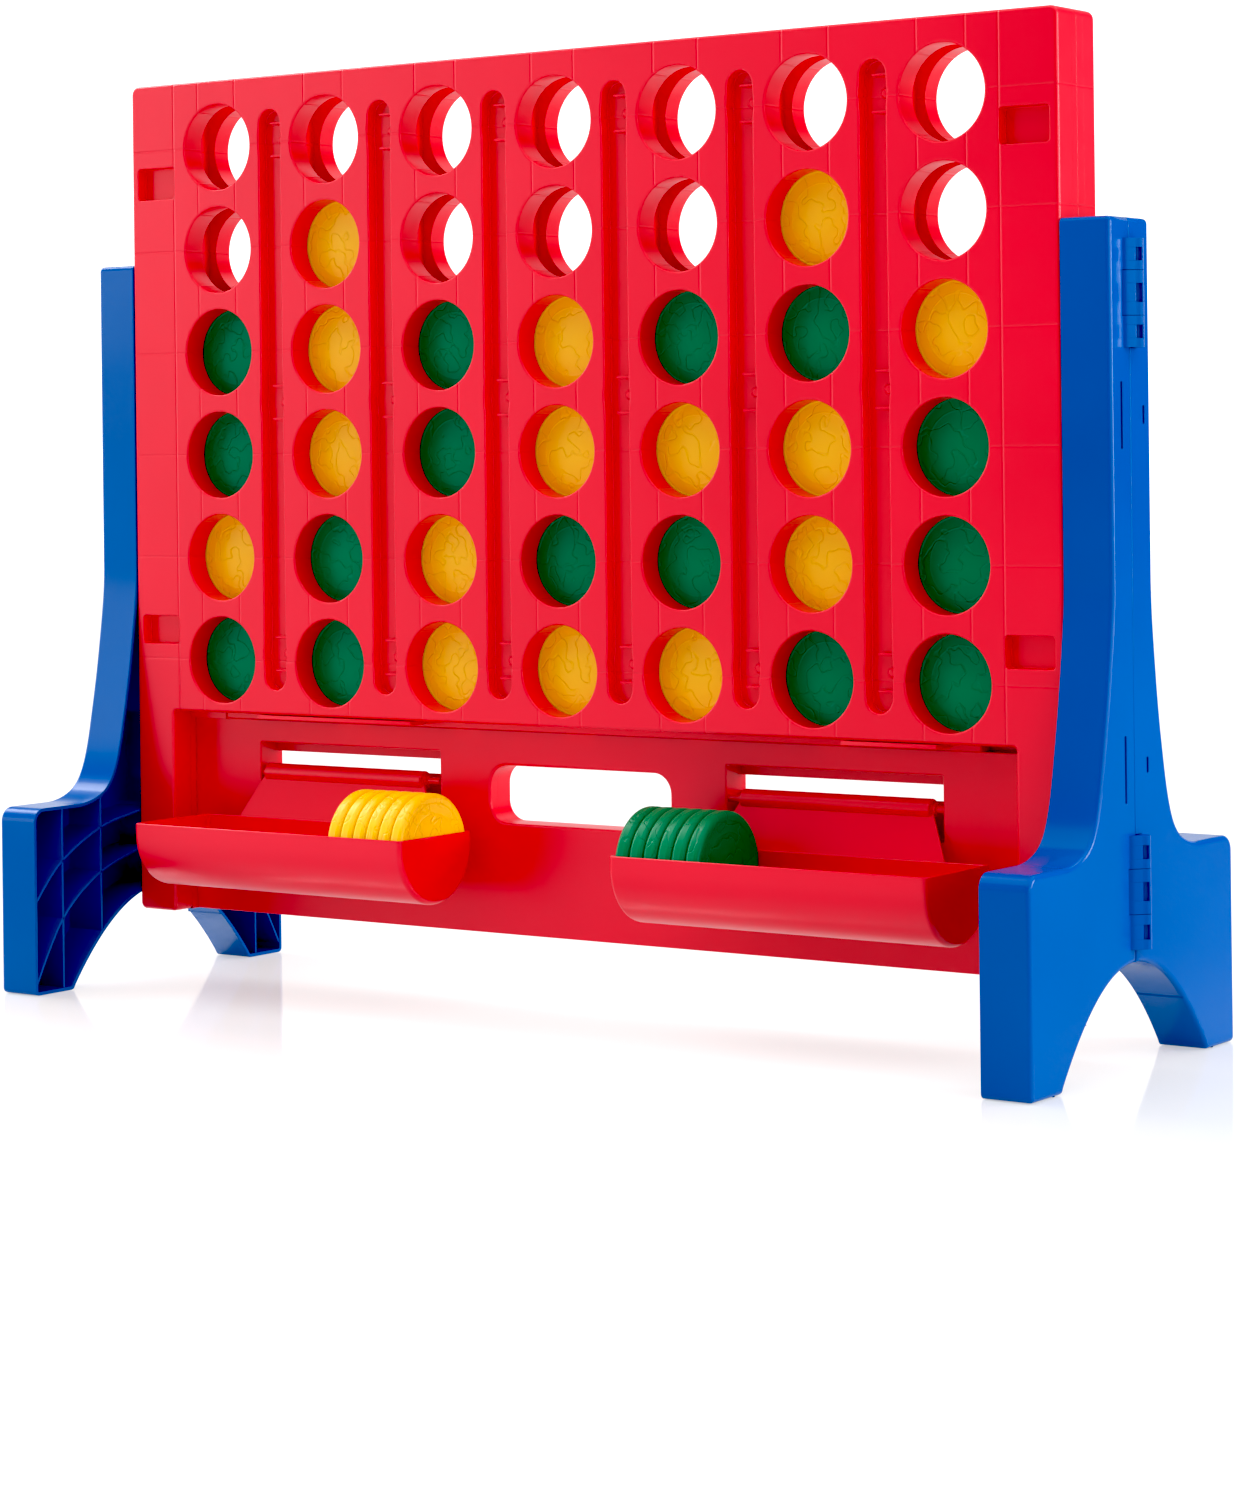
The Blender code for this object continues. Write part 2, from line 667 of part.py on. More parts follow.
def knuckle_spans(levels, front):
    bottom, first, second, top = levels
    if front:
        return [(bottom, first - KNUCKLE_GAP / 2), (second + KNUCKLE_GAP / 2, top)]
    return [(first + KNUCKLE_GAP / 2, second - KNUCKLE_GAP / 2)]


def add_knuckles(leg, side, front):
    own = Solids()
    others = Solids()
    bores = Solids()
    for levels in HINGE_LEVELS.values():
        for low, high in knuckle_spans(levels, front):
            own.prism(circle((side * HINGE_X, 0.0), KNUCKLE_RADIUS, KNUCKLE_SIDES, 0.5), 2, low, high)
        for low, high in knuckle_spans(levels, not front):
            others.prism(circle((side * HINGE_X, 0.0), KNUCKLE_CLEARANCE, KNUCKLE_SIDES, 0.5), 2,
                         low - KNUCKLE_GAP, high + KNUCKLE_GAP)
        bores.prism(circle((side * HINGE_X, 0.0), KNUCKLE_BORE, HINGE_PIN_SIDES, 0.5), 2,
                    levels[0] - OVERCUT, levels[3] + OVERCUT)
    carve(leg, own.build("own_knuckles"), "UNION")
    carve(leg, others.build("other_knuckles"))
    carve(leg, bores.build("bores"))


def build_leg(name, side, front):
    body = Solids()
    span = sorted((side * LEG_IN, side * LEG_OUT))
    body.prism(mirrored(leg_outline(), front), 0, *span)
    leg = body.build(name, BLUE)
    hollow = Solids()
    floor = sorted((side * (LEG_IN - OVERCUT), side * (LEG_OUT - LEG_WALL)))
    hollow.prism(mirrored(inset(leg_outline(), LEG_RIM), front), 0, *floor)
    pocket = hollow.build("pocket_cutter")
    for keeper in rib_solids(side, front):
        carve(pocket, keeper)
    carve(leg, pocket)
    slits = Solids()
    for y, low, high in HOOK_SLITS:
        if (y < 0) == front:
            wall = sorted((side * (LEG_OUT - LEG_WALL - OVERCUT), side * (LEG_OUT + OVERCUT)))
            slits.box(wall, (y - HOOK_SLIT_HALF, y + HOOK_SLIT_HALF), (low, high))
    carve(leg, slits.build("slit_cutters"))
    add_knuckles(leg, side, front)
    tidy(leg)
    set_origin(leg, (side * HINGE_X, 0.0, 0.0))
    return leg


def build_hinge_pin(name, side, levels):
    body = Solids()
    body.prism(circle((side * HINGE_X, 0.0), HINGE_PIN_RADIUS, HINGE_PIN_SIDES, 0.5), 2,
               levels[0] + GAP, levels[3] - GAP)
    pin = body.build(name, DARK)
    smooth_sides(pin, 2)
    set_origin(pin, (side * HINGE_X, 0.0, levels[0]))
    return pin


def build_all():
    clear_scene()
    build_front_shell()
    build_rear_shell()
    build_release_bar()
    build_board_discs()
    build_tray_discs()
    for word, side in (("left", -1), ("right", 1)):
        build_tray("tray_" + word, side)
        build_leg("leg_{}_front".format(word), side, True)
        build_leg("leg_{}_rear".format(word), side, False)
        for level, heights in HINGE_LEVELS.items():
            build_hinge_pin("hinge_pin_{}_{}".format(word, level), side, heights)


build_all()
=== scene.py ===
"""Looks of the giant four in a row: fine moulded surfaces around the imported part.

Every visible piece is built here in mesh code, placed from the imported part's own
boxes, and rides on the body whose solid it stands for.  Metres, +Z up, the
players' side is -Y.
"""
import json
import math

import bpy
from mathutils import Matrix, Vector
from mathutils.geometry import delaunay_2d_cdt


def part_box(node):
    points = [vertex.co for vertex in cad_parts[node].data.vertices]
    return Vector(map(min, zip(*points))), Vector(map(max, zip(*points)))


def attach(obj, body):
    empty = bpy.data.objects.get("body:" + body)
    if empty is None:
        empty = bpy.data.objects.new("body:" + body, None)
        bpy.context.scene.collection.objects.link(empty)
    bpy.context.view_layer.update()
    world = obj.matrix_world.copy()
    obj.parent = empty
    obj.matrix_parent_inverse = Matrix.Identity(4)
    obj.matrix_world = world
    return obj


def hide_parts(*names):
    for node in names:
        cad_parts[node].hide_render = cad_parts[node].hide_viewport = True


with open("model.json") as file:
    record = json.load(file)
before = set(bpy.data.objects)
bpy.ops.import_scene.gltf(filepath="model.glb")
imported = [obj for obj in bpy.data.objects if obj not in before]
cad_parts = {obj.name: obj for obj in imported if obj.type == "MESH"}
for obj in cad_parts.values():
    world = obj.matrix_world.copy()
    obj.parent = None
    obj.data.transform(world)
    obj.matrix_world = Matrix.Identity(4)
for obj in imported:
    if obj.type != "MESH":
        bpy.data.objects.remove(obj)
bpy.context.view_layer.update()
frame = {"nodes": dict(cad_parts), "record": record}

X = Vector((1.0, 0.0, 0.0))
Y = Vector((0.0, 1.0, 0.0))
Z = Vector((0.0, 0.0, 1.0))

# ---- board, sizes that a box cannot give
HOLE_RADIUS = 0.0446
HOLE_SIDES = 72
HOLE_EDGE = 0.0021
FRONT_SKIN_BACK = -0.0090
REAR_SKIN_FRONT = 0.0125
CHANNEL_WIDTH = 0.1072
BOARD_CORNER = 0.008
BOARD_EDGE = 0.0034
INNER_EDGE = 0.0006
GROOVE_HALF = 0.0138
GROOVE_DEPTH = 0.012
GROOVE_LOW = 0.309
GROOVE_HIGH = 0.905
GROOVE_BULGE = 0.0012
GROOVE_EDGE = 0.0019
GROOVE_FOOT = 0.0016
GROOVE_SPREAD = 0.010
GROOVE_BOSSES = (0.8740, 0.6043, 0.3460)
GROOVE_RIB_OFFSET = 0.0170
GROOVE_RIB_START = 0.0030
GROOVE_RIB_HEIGHT = 0.0080
GROOVE_RIB_HALF = 0.0012
GROOVE_RIB_CORNER = 0.0009
GROOVE_RIB_EDGE = 0.0008
GROOVE_BOSS_X = 0.0085
GROOVE_BOSS_RADIUS = 0.0050
GROOVE_BOSS_HEIGHT = 0.0035
GROOVE_BOSS_EDGE = 0.0030
POCKET_IN = 0.4945
POCKET_OUT = 0.545
POCKET_HEIGHTS = ((0.3535, 0.383), (0.8197, 0.853))
POCKET_CORNER = 0.0035
POCKET_EDGE = 0.0012
RECESS_HALF = 0.504
RECESS_TOP = 0.2835
RECESS_CORNER = 0.0035
RECESS_FOOT_CORNER = 0.0045
PANEL_TOP = 0.2752
PANEL_EDGE = 0.0010
PANEL_CORNER = 0.0015
BAR_GUARD = 0.0104
BAR_GUARD_HALF = 0.506
BAR_GUARD_SPAN = (0.2712, 0.302)
BAR_HALF = 0.0086
BAR_ROOF = 0.2856
BAR_FLOOR = 0.2745
BAR_POCKET_END = 0.529
BAR_BLOCK = (-0.506, -0.4548)
BAR_BLOCK_FRONT = -0.0075
BAR_BLOCK_TOP = 0.288
BAR_CORNER = 0.002
BAR_SLOT_HALF = 0.054
BAR_SLOT_DEPTH = 0.0068
BAR_SLOT_EDGE = 0.0006
BAR_EDGE = 0.0008
GRIP_HEIGHTS = (0.2785, 0.2828)
GRIP_SPANS = ((-0.388, -0.186), (0.320, 0.422))
GRIP_EDGE = 0.0007
GRIP_CORNER = 0.0015
GRIP_LAP = 0.001
HAND_HALF = 0.109
HAND_SHIFT = -0.004
HAND_LOW = 0.183
HAND_HIGH = 0.240
HAND_CORNER = 0.020
HAND_EDGE = 0.003
WINDOW_HALF = 0.119
WINDOW_CENTRE = 0.292
WINDOW_SHIFT = -0.003
WINDOW_LOW = 0.190
WINDOW_HIGH = 0.2515
SLIT_LOW = 0.224
SLIT_HIGH = 0.2422
WINDOW_SKIN = 0.026
WINDOW_EDGE = 0.0015
SEAM = 0.00015
FOOT_CORNER = 0.007
TINY_CORNER = 0.0006
SHARP = 0.0002

# ---- discs, and their face as radius, depth below the face and tilt in degrees
DISC_RADIUS = 0.0531
DISC_HALF = 0.00775
DISC_CURVE = 0.0052
DISC_SIDES = 96
DISC_DIP = 0.0001
DISC_FACE = ((0.0445, 0.0, 90), (0.0436, 0.0002, 118), (0.0430, 0.0005, 90), (0.0345, 0.0004, 88),
             (0.0340, 0.0003, 76), (0.0334, 0.0002, 90), (0.0328, 0.0003, 104), (0.0322, 0.0004, 90),
             (0.0150, 0.0002, 89))

# ---- legs
LEG_OUTER = 0.6035
LEG_SKIN = 0.003
LEG_EDGE = 0.0046
SPLIT_EDGE = 0.0006
LEG_RIM = 0.0036
LEG_TOP_HALF = 0.0355
REAR_SWELL = 0.003
SWELL_START = 0.30
SWELL_RISE = 0.12
FLARE = ((0.0355, 0.430), (0.0362, 0.412), (0.0385, 0.390), (0.0430, 0.358), (0.0487, 0.322),
         (0.0560, 0.284), (0.0643, 0.246), (0.0740, 0.219), (0.0860, 0.2035), (0.1010, 0.1955),
         (0.1180, 0.1915), (0.1340, 0.1910))
FOOT_HALF = 0.191
SHOULDER_Z = 0.191
SHOULDER_CORNER = 0.014
ARCH_HALF = 0.137
ARCH_TOP = 0.0955
ARCH_TOE = 0.004
ARCH_HEEL = ((0.0018, -0.0032), (0.0036, -0.0050))
ARCH_HEEL_OUT = 0.0062
LEG_STRAIGHT = (0.52, 0.64)
SHOULDER_INNER = 0.155
LEG_CORNER = 0.005
RIB_HALF = 0.0013
RIB_PLACES = (0.092, 0.149)
RIB_CURVES = (((0.189, 0.094), (0.151, 0.133), (0.094, 0.163), (0.041, 0.175), (0.0145, 0.1785)),
              ((0.189, 0.009), (0.149, 0.075), (0.097, 0.115), (0.042, 0.134), (0.0145, 0.1378)))
SLITS = ((-0.016, 0.548, 0.607), (-0.016, 0.237, 0.296), (0.025, 0.570, 0.586), (0.025, 0.261, 0.275))
SLIT_HALF = 0.0018
BARREL_RADIUS = 0.012
BARREL_X = 0.605
HINGE_LEVELS = {"upper": (0.637, 0.665, 0.705, 0.733), "lower": (0.108, 0.139, 0.179, 0.208)}
BARREL_GAP = 0.0002
NOTCH_DEPTH = 0.0128
KNUCKLE_HOLLOW = ((-0.0030, -0.0122), (0.0010, -0.0098), (0.0045, -0.0058), (0.0070, -0.0026))
KNUCKLE_WINDOW = ((0.0046, 0.0004), (0.0086, 0.0038), (0.0112, 0.0008))
KNUCKLE_CREST = (0.0092, -0.0006)
KNUCKLE_LIP = (0.0118, 0.0018)
KNUCKLE_FOOT = (-0.0030, -0.0030)
WINDOW_SHARE = 0.42
PIN_RADIUS = 0.003

# ---- trays
TRAY_RADIUS = 0.0565
TRAY_WALL = 0.0025
TRAY_STRETCH = 0.008
ROLL_SHIFTS = {-1: -0.008, 1: -0.004}
TRAY_ARC_Z = 0.1645
TRAY_CENTRE_Y = -0.0725
ROLL_Y = 0.006
ROLL_Z = 0.220
ROLL_RADIUS = 0.0097
PLATE_REACH = 0.0030
TRAY_RIM = 0.1755
TRAY_LIP = 0.0010
ROLL_HALF = 0.104
PLATE_LOW_HALF = 0.130
TRAY_PIN_RADIUS = 0.0035
COLLAR_RADIUS = 0.0058
TRAY_PIN_END = 0.1235

# ---- studio, brightness against bearing from the players' side (left is negative) and height
SKY_SCALE = 6.0
STUDIO_WALLS = ((-180, 0.80), (-122, 1.1), (-98, 2.6), (-60, 2.1),
                (-43, 3.2), (-37, 1.25), (-30, 0.38), (0, 0.27), (46, 0.25), (64, 2.5), (78, 3.0),
                (112, 2.8), (128, 1.2), (140, 0.60), (150, 0.12), (162, 0.20), (180, 0.80))
STUDIO_HEIGHT = ((0.0, 0.85), (0.08, 1.2), (0.25, 1.2), (0.45, 0.35), (0.60, 0.30))
STUDIO_CEILING = ((0.0, 0.3), (0.56, 0.3), (0.68, 2.2), (0.90, 2.2), (1.0, 1.6))
CEILING_START = 0.50
CEILING_FULL = 0.60
BLACK_LEVEL = (0.06, 0.033, 0.029)
STUDIO_POWER = 0.87
BACKDROP = 0.3
FLOOR_GLOW = 1.32
FLOOR_DIM = 0.62
FLOOR_MIRROR = 0.30
FLOOR_FLAG = 0.8
FLAG_START = 0.62
FLAG_FULL = 0.95
MIRROR_NEAR = -0.20
MIRROR_FAR = -0.62
MIRROR_ROUGHNESS = 0.08
FLOOR_TONE = (0.95, 0.95, 0.95, 1.0)
FLOOR_DROP = 0.0005
FLOOR_HALF = 9
# name, place, aim, width, height, power
SOFTBOXES = (("left_softbox", (-2.8, 0.0, 2.5), (-0.1, 0.0, 0.45), 1.2, 2.4, 55),
             ("right_softbox", (3.1, 1.75, 0.95), (0.6, 0.0, 0.4), 0.8, 1.3, 40))

# ---- camera
CAMERA_SPOT = (2.10163, -2.8652, 0.557235)
CAMERA_YAW = 35.583
CAMERA_ROLL = -0.683
CAMERA_LENS = 87.36
CAMERA_SHIFT = -0.2039

# ---- surface detail
SCRAWL_SCALE = 55.0
SCRAWL_DEPTH = 0.00035
SCRAWL_EDGE = 0.030
SCRAWL_CORE = 0.004
RUB_SPREAD = 0.015
PIECE_SHIFT = (3.0, 5.0, 7.0)
# faint mould lines on the board: axis, centre, pitch, offset each side, half width, depth
SHELL_MARKS = ((0, 0.0, 0.145, 0.0255, 0.0016, 0.00030),
               (0, 0.4945, 0.989, 0.0, 0.0016, 0.00040),
               (2, 0.3382, 0.1065, 0.0, 0.0016, 0.00030))


# ------------------------------------------------------------------ small tools
class Plane:
    """A flat frame: u and v lie in it, w points out of the material."""

    def __init__(self, origin, u, v, w):
        self.origin = Vector(origin)
        self.u = u
        self.v = v
        self.w = w

    def at(self, u, v, w=0.0):
        return self.origin + self.u * u + self.v * v + self.w * w

    def way(self, u, v, w):
        return self.u * u + self.v * v + self.w * w

    def raised(self, height):
        return Plane(self.at(0, 0, height), self.u, self.v, self.w)


def arc(u, v, radius, start, end, steps):
    angles = [start + (end - start) * k / steps for k in range(steps + 1)]
    return [(u + radius * math.cos(angle), v + radius * math.sin(angle)) for angle in angles]


def circle(u, v, radius, sides):
    return arc(u, v, radius, 0.0, 2 * math.pi, sides)[:-1]


def rounded(corners, steps=6):
    """Anticlockwise loop through (u, v, radius) corners, each turned by an arc."""
    loop = []
    count = len(corners)
    for k in range(count):
        here = Vector(corners[k][:2])
        back = Vector(corners[k - 1][:2]) - here
        ahead = Vector(corners[(k + 1) % count][:2]) - here
        back.normalize()
        ahead.normalize()
        radius = corners[k][2]
        half = math.acos(max(-1.0, min(1.0, back.dot(ahead)))) / 2
        reach = radius / math.tan(half)
        start = here + back * reach
        end = here + ahead * reach
        centre = here + (back + ahead).normalized() * (radius / math.sin(half))
        a = math.atan2(start.y - centre.y, start.x - centre.x)
        b = math.atan2(end.y - centre.y, end.x - centre.x)
        turn = (b - a + math.pi) % (2 * math.pi) - math.pi
        loop.extend(arc(centre.x, centre.y, radius, a, a + turn, steps))
    return loop


def box_loop(u, v, radius, steps=6):
    return rounded([(u[0], v[0], radius), (u[1], v[0], radius),
                    (u[1], v[1], radius), (u[0], v[1], radius)], steps)


def edge_normals(loop):
    """Inward unit normal of each edge of an anticlockwise loop."""
    normals = []
    count = len(loop)
    for k in range(count):
        along = Vector(loop[(k + 1) % count]) - Vector(loop[k])
        along.normalize()
        normals.append(Vector((-along.y, along.x)))
    return normals


def corner_normals(loop):
    edges = edge_normals(loop)
    return [(edges[k - 1] + edges[k]).normalized() for k in range(len(loop))]


def offset(loop, distances):
    """Move every edge of an anticlockwise loop inward by its own distance."""
    edges = edge_normals(loop)
    count = len(loop)
    moved = []
    for k in range(count):
        first = edges[k - 1]
        second = edges[k]
        one = distances[k - 1]
        two = distances[k]
        cross = first.x * second.y - first.y * second.x
        if abs(cross) < 0.05:
            between = (first + second).normalized()
            step = between * ((one + two) / 2 / max(0.5, between.dot(first)))
        else:
            step = Vector(((one * second.y - two * first.y) / cross,
                           (first.x * two - second.x * one) / cross))
        moved.append((loop[k][0] + step.x, loop[k][1] + step.y))
    return moved


def inside(spot, loop):
    u, v = spot
    odd = False
    for k in range(len(loop)):
        a = loop[k - 1]
        b = loop[k]
        if (a[1] > v) != (b[1] > v) and u < (b[0] - a[0]) * (v - a[1]) / (b[1] - a[1]) + a[0]:
            odd = not odd
    return odd


def round_front(radius, steps=5):
    """Section of a rounded outer edge: inset, depth and tilt of the normal."""
    tilts = [math.pi / 2 * (1 - k / steps) for k in range(steps + 1)]
    return [(radius * (1 - math.cos(tilt)), -radius * (1 - math.sin(tilt)), tilt) for tilt in tilts]


def round_back(radius, thickness, steps=3):
    """Section of the edge on a plate's far side."""
    tilts = [math.pi / 2 * k / steps for k in range(steps + 1)]
    return [(radius * (1 - math.cos(tilt)), -(thickness - radius) - radius * math.sin(tilt), -tilt)
            for tilt in tilts]


def round_foot(radius, depth):
    """Section where a pocket's wall turns into its floor."""
    return [(-inset, level, -tilt) for inset, level, tilt in round_back(radius, depth)]


class Skin:
    """Points that carry their own normals, and faces over them."""

    def __init__(self):
        self.points = []
        self.normals = []
        self.faces = []

    def add(self, point, normal):
        self.points.append(Vector(point))
        self.normals.append(Vector(normal))
        return len(self.points) - 1

    def bridge(self, first, second, closed=True):
        count = len(first)
        for k in range(count if closed else count - 1):
            after = (k + 1) % count
            self.faces.append((first[k], first[after], second[after], second[k]))

    def sweep(self, plane, loop, side, section, weights=None):
        """Sweep a section round a loop; side is 1 for an outer edge and -1 for a hole.

        weights, one per edge of the loop, shrink the rounding along that edge.
        """
        count = len(loop)
        outward = [-normal * side for normal in corner_normals(loop)]
        rings = []
        for inset, depth, tilt in section:
            flat = offset(loop, [side * inset * (weights[k] if weights else 1.0) for k in range(count)])
            ring = []
            for k in range(count):
                normal = plane.way(outward[k].x * math.cos(tilt), outward[k].y * math.cos(tilt),
                                   math.sin(tilt))
                ring.append(self.add(plane.at(flat[k][0], flat[k][1], depth), normal))
            rings.append((ring, flat))
        for k in range(len(rings) - 1):
            self.bridge(rings[k][0], rings[k + 1][0])
        return rings[0], rings[-1]

    def fill(self, rings):
        """Triangles between an outer ring and the rings inside it."""
        flat = []
        numbers = []
        owner = []
        edges = []
        for which, (ring, spots) in enumerate(rings):
            start = len(flat)
            count = len(spots)
            flat.extend(Vector(spot) for spot in spots)
            numbers.extend(ring)
            owner.extend([which] * count)
            edges.extend((start + k, start + (k + 1) % count) for k in range(count))
        made = delaunay_2d_cdt(flat, edges, [], 0, 1e-8)
        source = made[3]
        for triangle in made[2]:
            ends = [source[corner][0] for corner in triangle]
            owners = {owner[end] for end in ends}
            if len(owners) == 1:
                which = owners.pop()
                middle = sum((flat[end] for end in ends), Vector((0.0, 0.0))) / 3
                within = inside(middle, rings[which][1])
                if within != (which == 0):
                    continue
            self.faces.append(tuple(numbers[end] for end in ends))

    def flat_ring(self, plane, spots, depth, sign=1.0):
        normal = plane.w * sign
        return [self.add(plane.at(u, v, depth), normal) for u, v in spots], spots

    def build(self, name, look):
        faces = []
        for face in self.faces:
            corners = [self.points[k] for k in face]
            turned = Vector((0.0, 0.0, 0.0))
            for k in range(1, len(corners) - 1):
                turned += (corners[k] - corners[0]).cross(corners[k + 1] - corners[0])
            if turned.length < 1e-14:
                continue
            wanted = sum((self.normals[k] for k in face), Vector((0.0, 0.0, 0.0)))
            faces.append(face if turned.dot(wanted) >= 0 else tuple(reversed(face)))
        mesh = bpy.data.meshes.new(name)
        mesh.from_pydata([tuple(point) for point in self.points], [], faces)
        mesh.shade_smooth()
        mesh.normals_split_custom_set_from_vertices([tuple(n.normalized()) for n in self.normals])
        mesh.materials.append(look)
        made = bpy.data.objects.new(name, mesh)
        bpy.context.scene.collection.objects.link(made)
        return made


def plate(skin, plane, outer, thickness, near, far, through=(), blind=()):
    """A plate with rounded edges, through holes and blind pockets; its two faces are left to fill."""
    front = []
    back = []
    rims = [(1, (outer, near, far))] + [(-1, hole) for hole in through]
    for side, (loop, loop_near, loop_far) in rims:
        section = round_front(loop_near) + round_back(loop_far, thickness)
        first, last = skin.sweep(plane, loop, side, section)
        front.append(first)
        back.append(last)
    for loop, loop_near, depth, foot in blind:
        first, last = skin.sweep(plane, loop, -1, round_front(loop_near) + round_foot(foot, depth))
        front.append(first)
        skin.fill([last])
    return front, back


def closed_plate(*shape):
    skin = shape[0]
    for face in plate(*shape):
        skin.fill(face)


def stud(skin, top, loop, depth, radius, steps=3):
    """A solid with a rounded top face, open at its foot, which lies inside other material."""
    rings = skin.sweep(top, loop, 1, round_front(radius, steps) + [(0.0, -depth, 0.0)])
    skin.fill(rings[:1])


def raise_solid(skin, plane, loop, height, radius):
    """A small solid standing on a plane, its foot buried a little below it."""
    stud(skin, plane.raised(height), loop, height + 0.001, radius)


def turned(skin, centre, axis, across, section, sides):
    """Section of (along, radius, tilt) turned about an axis; across holds two directions."""
    rings = []
    for along, radius, tilt in section:
        ring = []
        for k in range(sides):
            angle = 2 * math.pi * k / sides
            out = across[0] * math.cos(angle) + across[1] * math.sin(angle)
            spot = centre + axis * along + out * radius
            ring.append(skin.add(spot, out * math.cos(tilt) + axis * math.sin(tilt)))
        rings.append(ring)
    for first, second in zip(rings, rings[1:]):
        skin.bridge(first, second)
    return rings


def settle(piece, body, slot, *nodes):
    """Put a finished piece on its body, in place of the CAD nodes it stands for."""
    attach(piece, body)
    if nodes:
        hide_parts(*nodes)


# ------------------------------------------------------------------ materials
def linear(channel):
    channel = channel / 255
    return channel / 12.92 if channel <= 0.04045 else ((channel + 0.055) / 1.055) ** 2.4


def colour(red, green, blue):
    return (linear(red), linear(green), linear(blue), 1.0)


class Graph:
    """Adds nodes to a node tree; an input takes a plain value or another node's output."""

    def __init__(self, tree):
        self.nodes = tree.nodes
        self.links = tree.links

    def add(self, kind, inputs, **settings):
        node = self.nodes.new("ShaderNode" + kind)
        for name, value in settings.items():
            setattr(node, name, value)
        for key, value in inputs.items():
            self.feed(node.inputs[key], value)
        return node

    def feed(self, socket, value):
        if isinstance(value, bpy.types.NodeSocket):
            self.links.new(value, socket)
        else:
            socket.default_value = value

    def maths(self, operation, first, second=0.0):
        return self.add("Math", {0: first, 1: second}, operation=operation).outputs[0]

    def between(self, value, start, end, low=0.0, high=1.0, smooth=False):
        """Map a value that runs from start to end onto low to high."""
        inputs = {"Value": value, "From Min": start, "From Max": end, "To Min": low, "To Max": high}
        kind = "SMOOTHSTEP" if smooth else "LINEAR"
        return self.add("MapRange", inputs, interpolation_type=kind).outputs["Result"]

    def blend(self, share, first, second):
        """Mix of two colours."""
        return self.add("Mix", {0: share, 6: first, 7: second}, data_type="RGBA").outputs[2]

    def bump(self, height, strength, distance, below=None, **settings):
        """Normal of a relief, laid over the normal of another one."""
        inputs = {"Height": height, "Strength": strength, "Distance": distance}
        if below is not None:
            inputs["Normal"] = below
        return self.add("Bump", inputs, **settings).outputs["Normal"]


def marks(graph, place, axis, centre, pitch, shift, width):
    """Height of narrow mould lines on both sides of places a pitch apart, from 0 to 1."""
    spot = graph.add("SeparateXYZ", {0: place}).outputs
    along = graph.maths("SUBTRACT", spot[axis], centre - pitch / 2)
    cell = graph.maths("SUBTRACT", graph.maths("FLOORED_MODULO", along, pitch), pitch / 2)
    gap = graph.maths("ABSOLUTE", graph.maths("SUBTRACT", graph.maths("ABSOLUTE", cell), shift))
    line = graph.between(gap, width, 0.0, smooth=True)
    above = graph.maths("GREATER_THAN", spot[2], RECESS_TOP)
    return graph.maths("MULTIPLY", line, above)


def contour(graph, noise):
    """Thin wandering lines, where a noise crosses its middle value."""
    away = graph.maths("ABSOLUTE", graph.maths("SUBTRACT", noise, 0.5))
    return graph.between(away, SCRAWL_EDGE, SCRAWL_CORE, smooth=True)


def plastic(name, base, shade, roughness, grain=0.003, wave=0.02, shine=0.40, scrawl=0.0, lines=()):
    """Moulded plastic: slight tone drift, satin grain, faint flow waves and rubbed patches."""
    made = bpy.data.materials.new(name)
    made.use_nodes = True
    graph = Graph(made.node_tree)
    shader = made.node_tree.nodes["Principled BSDF"]
    place = graph.add("TexCoord", {}).outputs["Object"]
    number = graph.add("ObjectInfo", {}).outputs["Random"]
    own = graph.add("VectorMath", {0: number, 1: PIECE_SHIFT, 2: place},
                    operation="MULTIPLY_ADD").outputs[0]

    def noise(scale, detail, rough=0.5):
        inputs = {"Vector": own, "Scale": scale, "Detail": detail, "Roughness": rough}
        return graph.add("TexNoise", inputs).outputs["Fac"]

    drift = graph.between(noise(5.0, 2.0), 0.35, 0.70)
    graph.feed(shader.inputs["Base Color"], graph.blend(drift, base, shade))
    rub = graph.between(noise(38.0, 4.0, 0.6), 0.3, 0.7, roughness - RUB_SPREAD, roughness + RUB_SPREAD)
    graph.feed(shader.inputs["Roughness"], rub)
    normal = graph.bump(noise(1400.0, 2.0), grain, 0.001)
    normal = graph.bump(noise(22.0, 1.0), wave, 0.002, normal)
    if scrawl:
        relief = contour(graph, noise(SCRAWL_SCALE, 1.0))
        normal = graph.bump(relief, 1.0, scrawl, normal, invert=True)
    for axis, centre, pitch, shift, width, depth in lines:
        relief = marks(graph, place, axis, centre, pitch, shift, width)
        normal = graph.bump(relief, 1.0, depth, normal, invert=True)
    graph.feed(shader.inputs["Normal"], normal)
    shader.inputs["Specular IOR Level"].default_value = shine
    return made


RED_TONES = (colour(240, 22, 50), colour(233, 18, 46))
RED = plastic("moulded_red", *RED_TONES, 0.29)
SHELL_RED = plastic("moulded_red_shell", *RED_TONES, 0.29, lines=SHELL_MARKS)
BLUE = plastic("moulded_blue", colour(0, 86, 172), colour(0, 81, 166), 0.20, 0.0, 0.02, 0.28)
GREEN = plastic("moulded_green", colour(0, 133, 82), colour(0, 124, 75), 0.33, 0.01, 0.03, 0.34,
                SCRAWL_DEPTH)
YELLOW = plastic("moulded_yellow", colour(254, 205, 26), colour(250, 198, 20), 0.34, 0.01, 0.03, 0.38,
                 SCRAWL_DEPTH)
PIN_BLUE = plastic("pin_blue", colour(6, 60, 150), colour(4, 50, 130), 0.5)


# ------------------------------------------------------------------ board
def disc_nodes():
    """Played disc nodes by (column, row), counted from 1 at the top left."""
    found = {}
    for name in frame["nodes"]:
        parts = name.split("_")
        if len(parts) == 4 and parts[2][0] == "c" and parts[3][0] == "r":
            found[int(parts[2][1:]), int(parts[3][1:])] = name
    return found


def middle(name):
    low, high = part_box(name)
    return (low + high) / 2


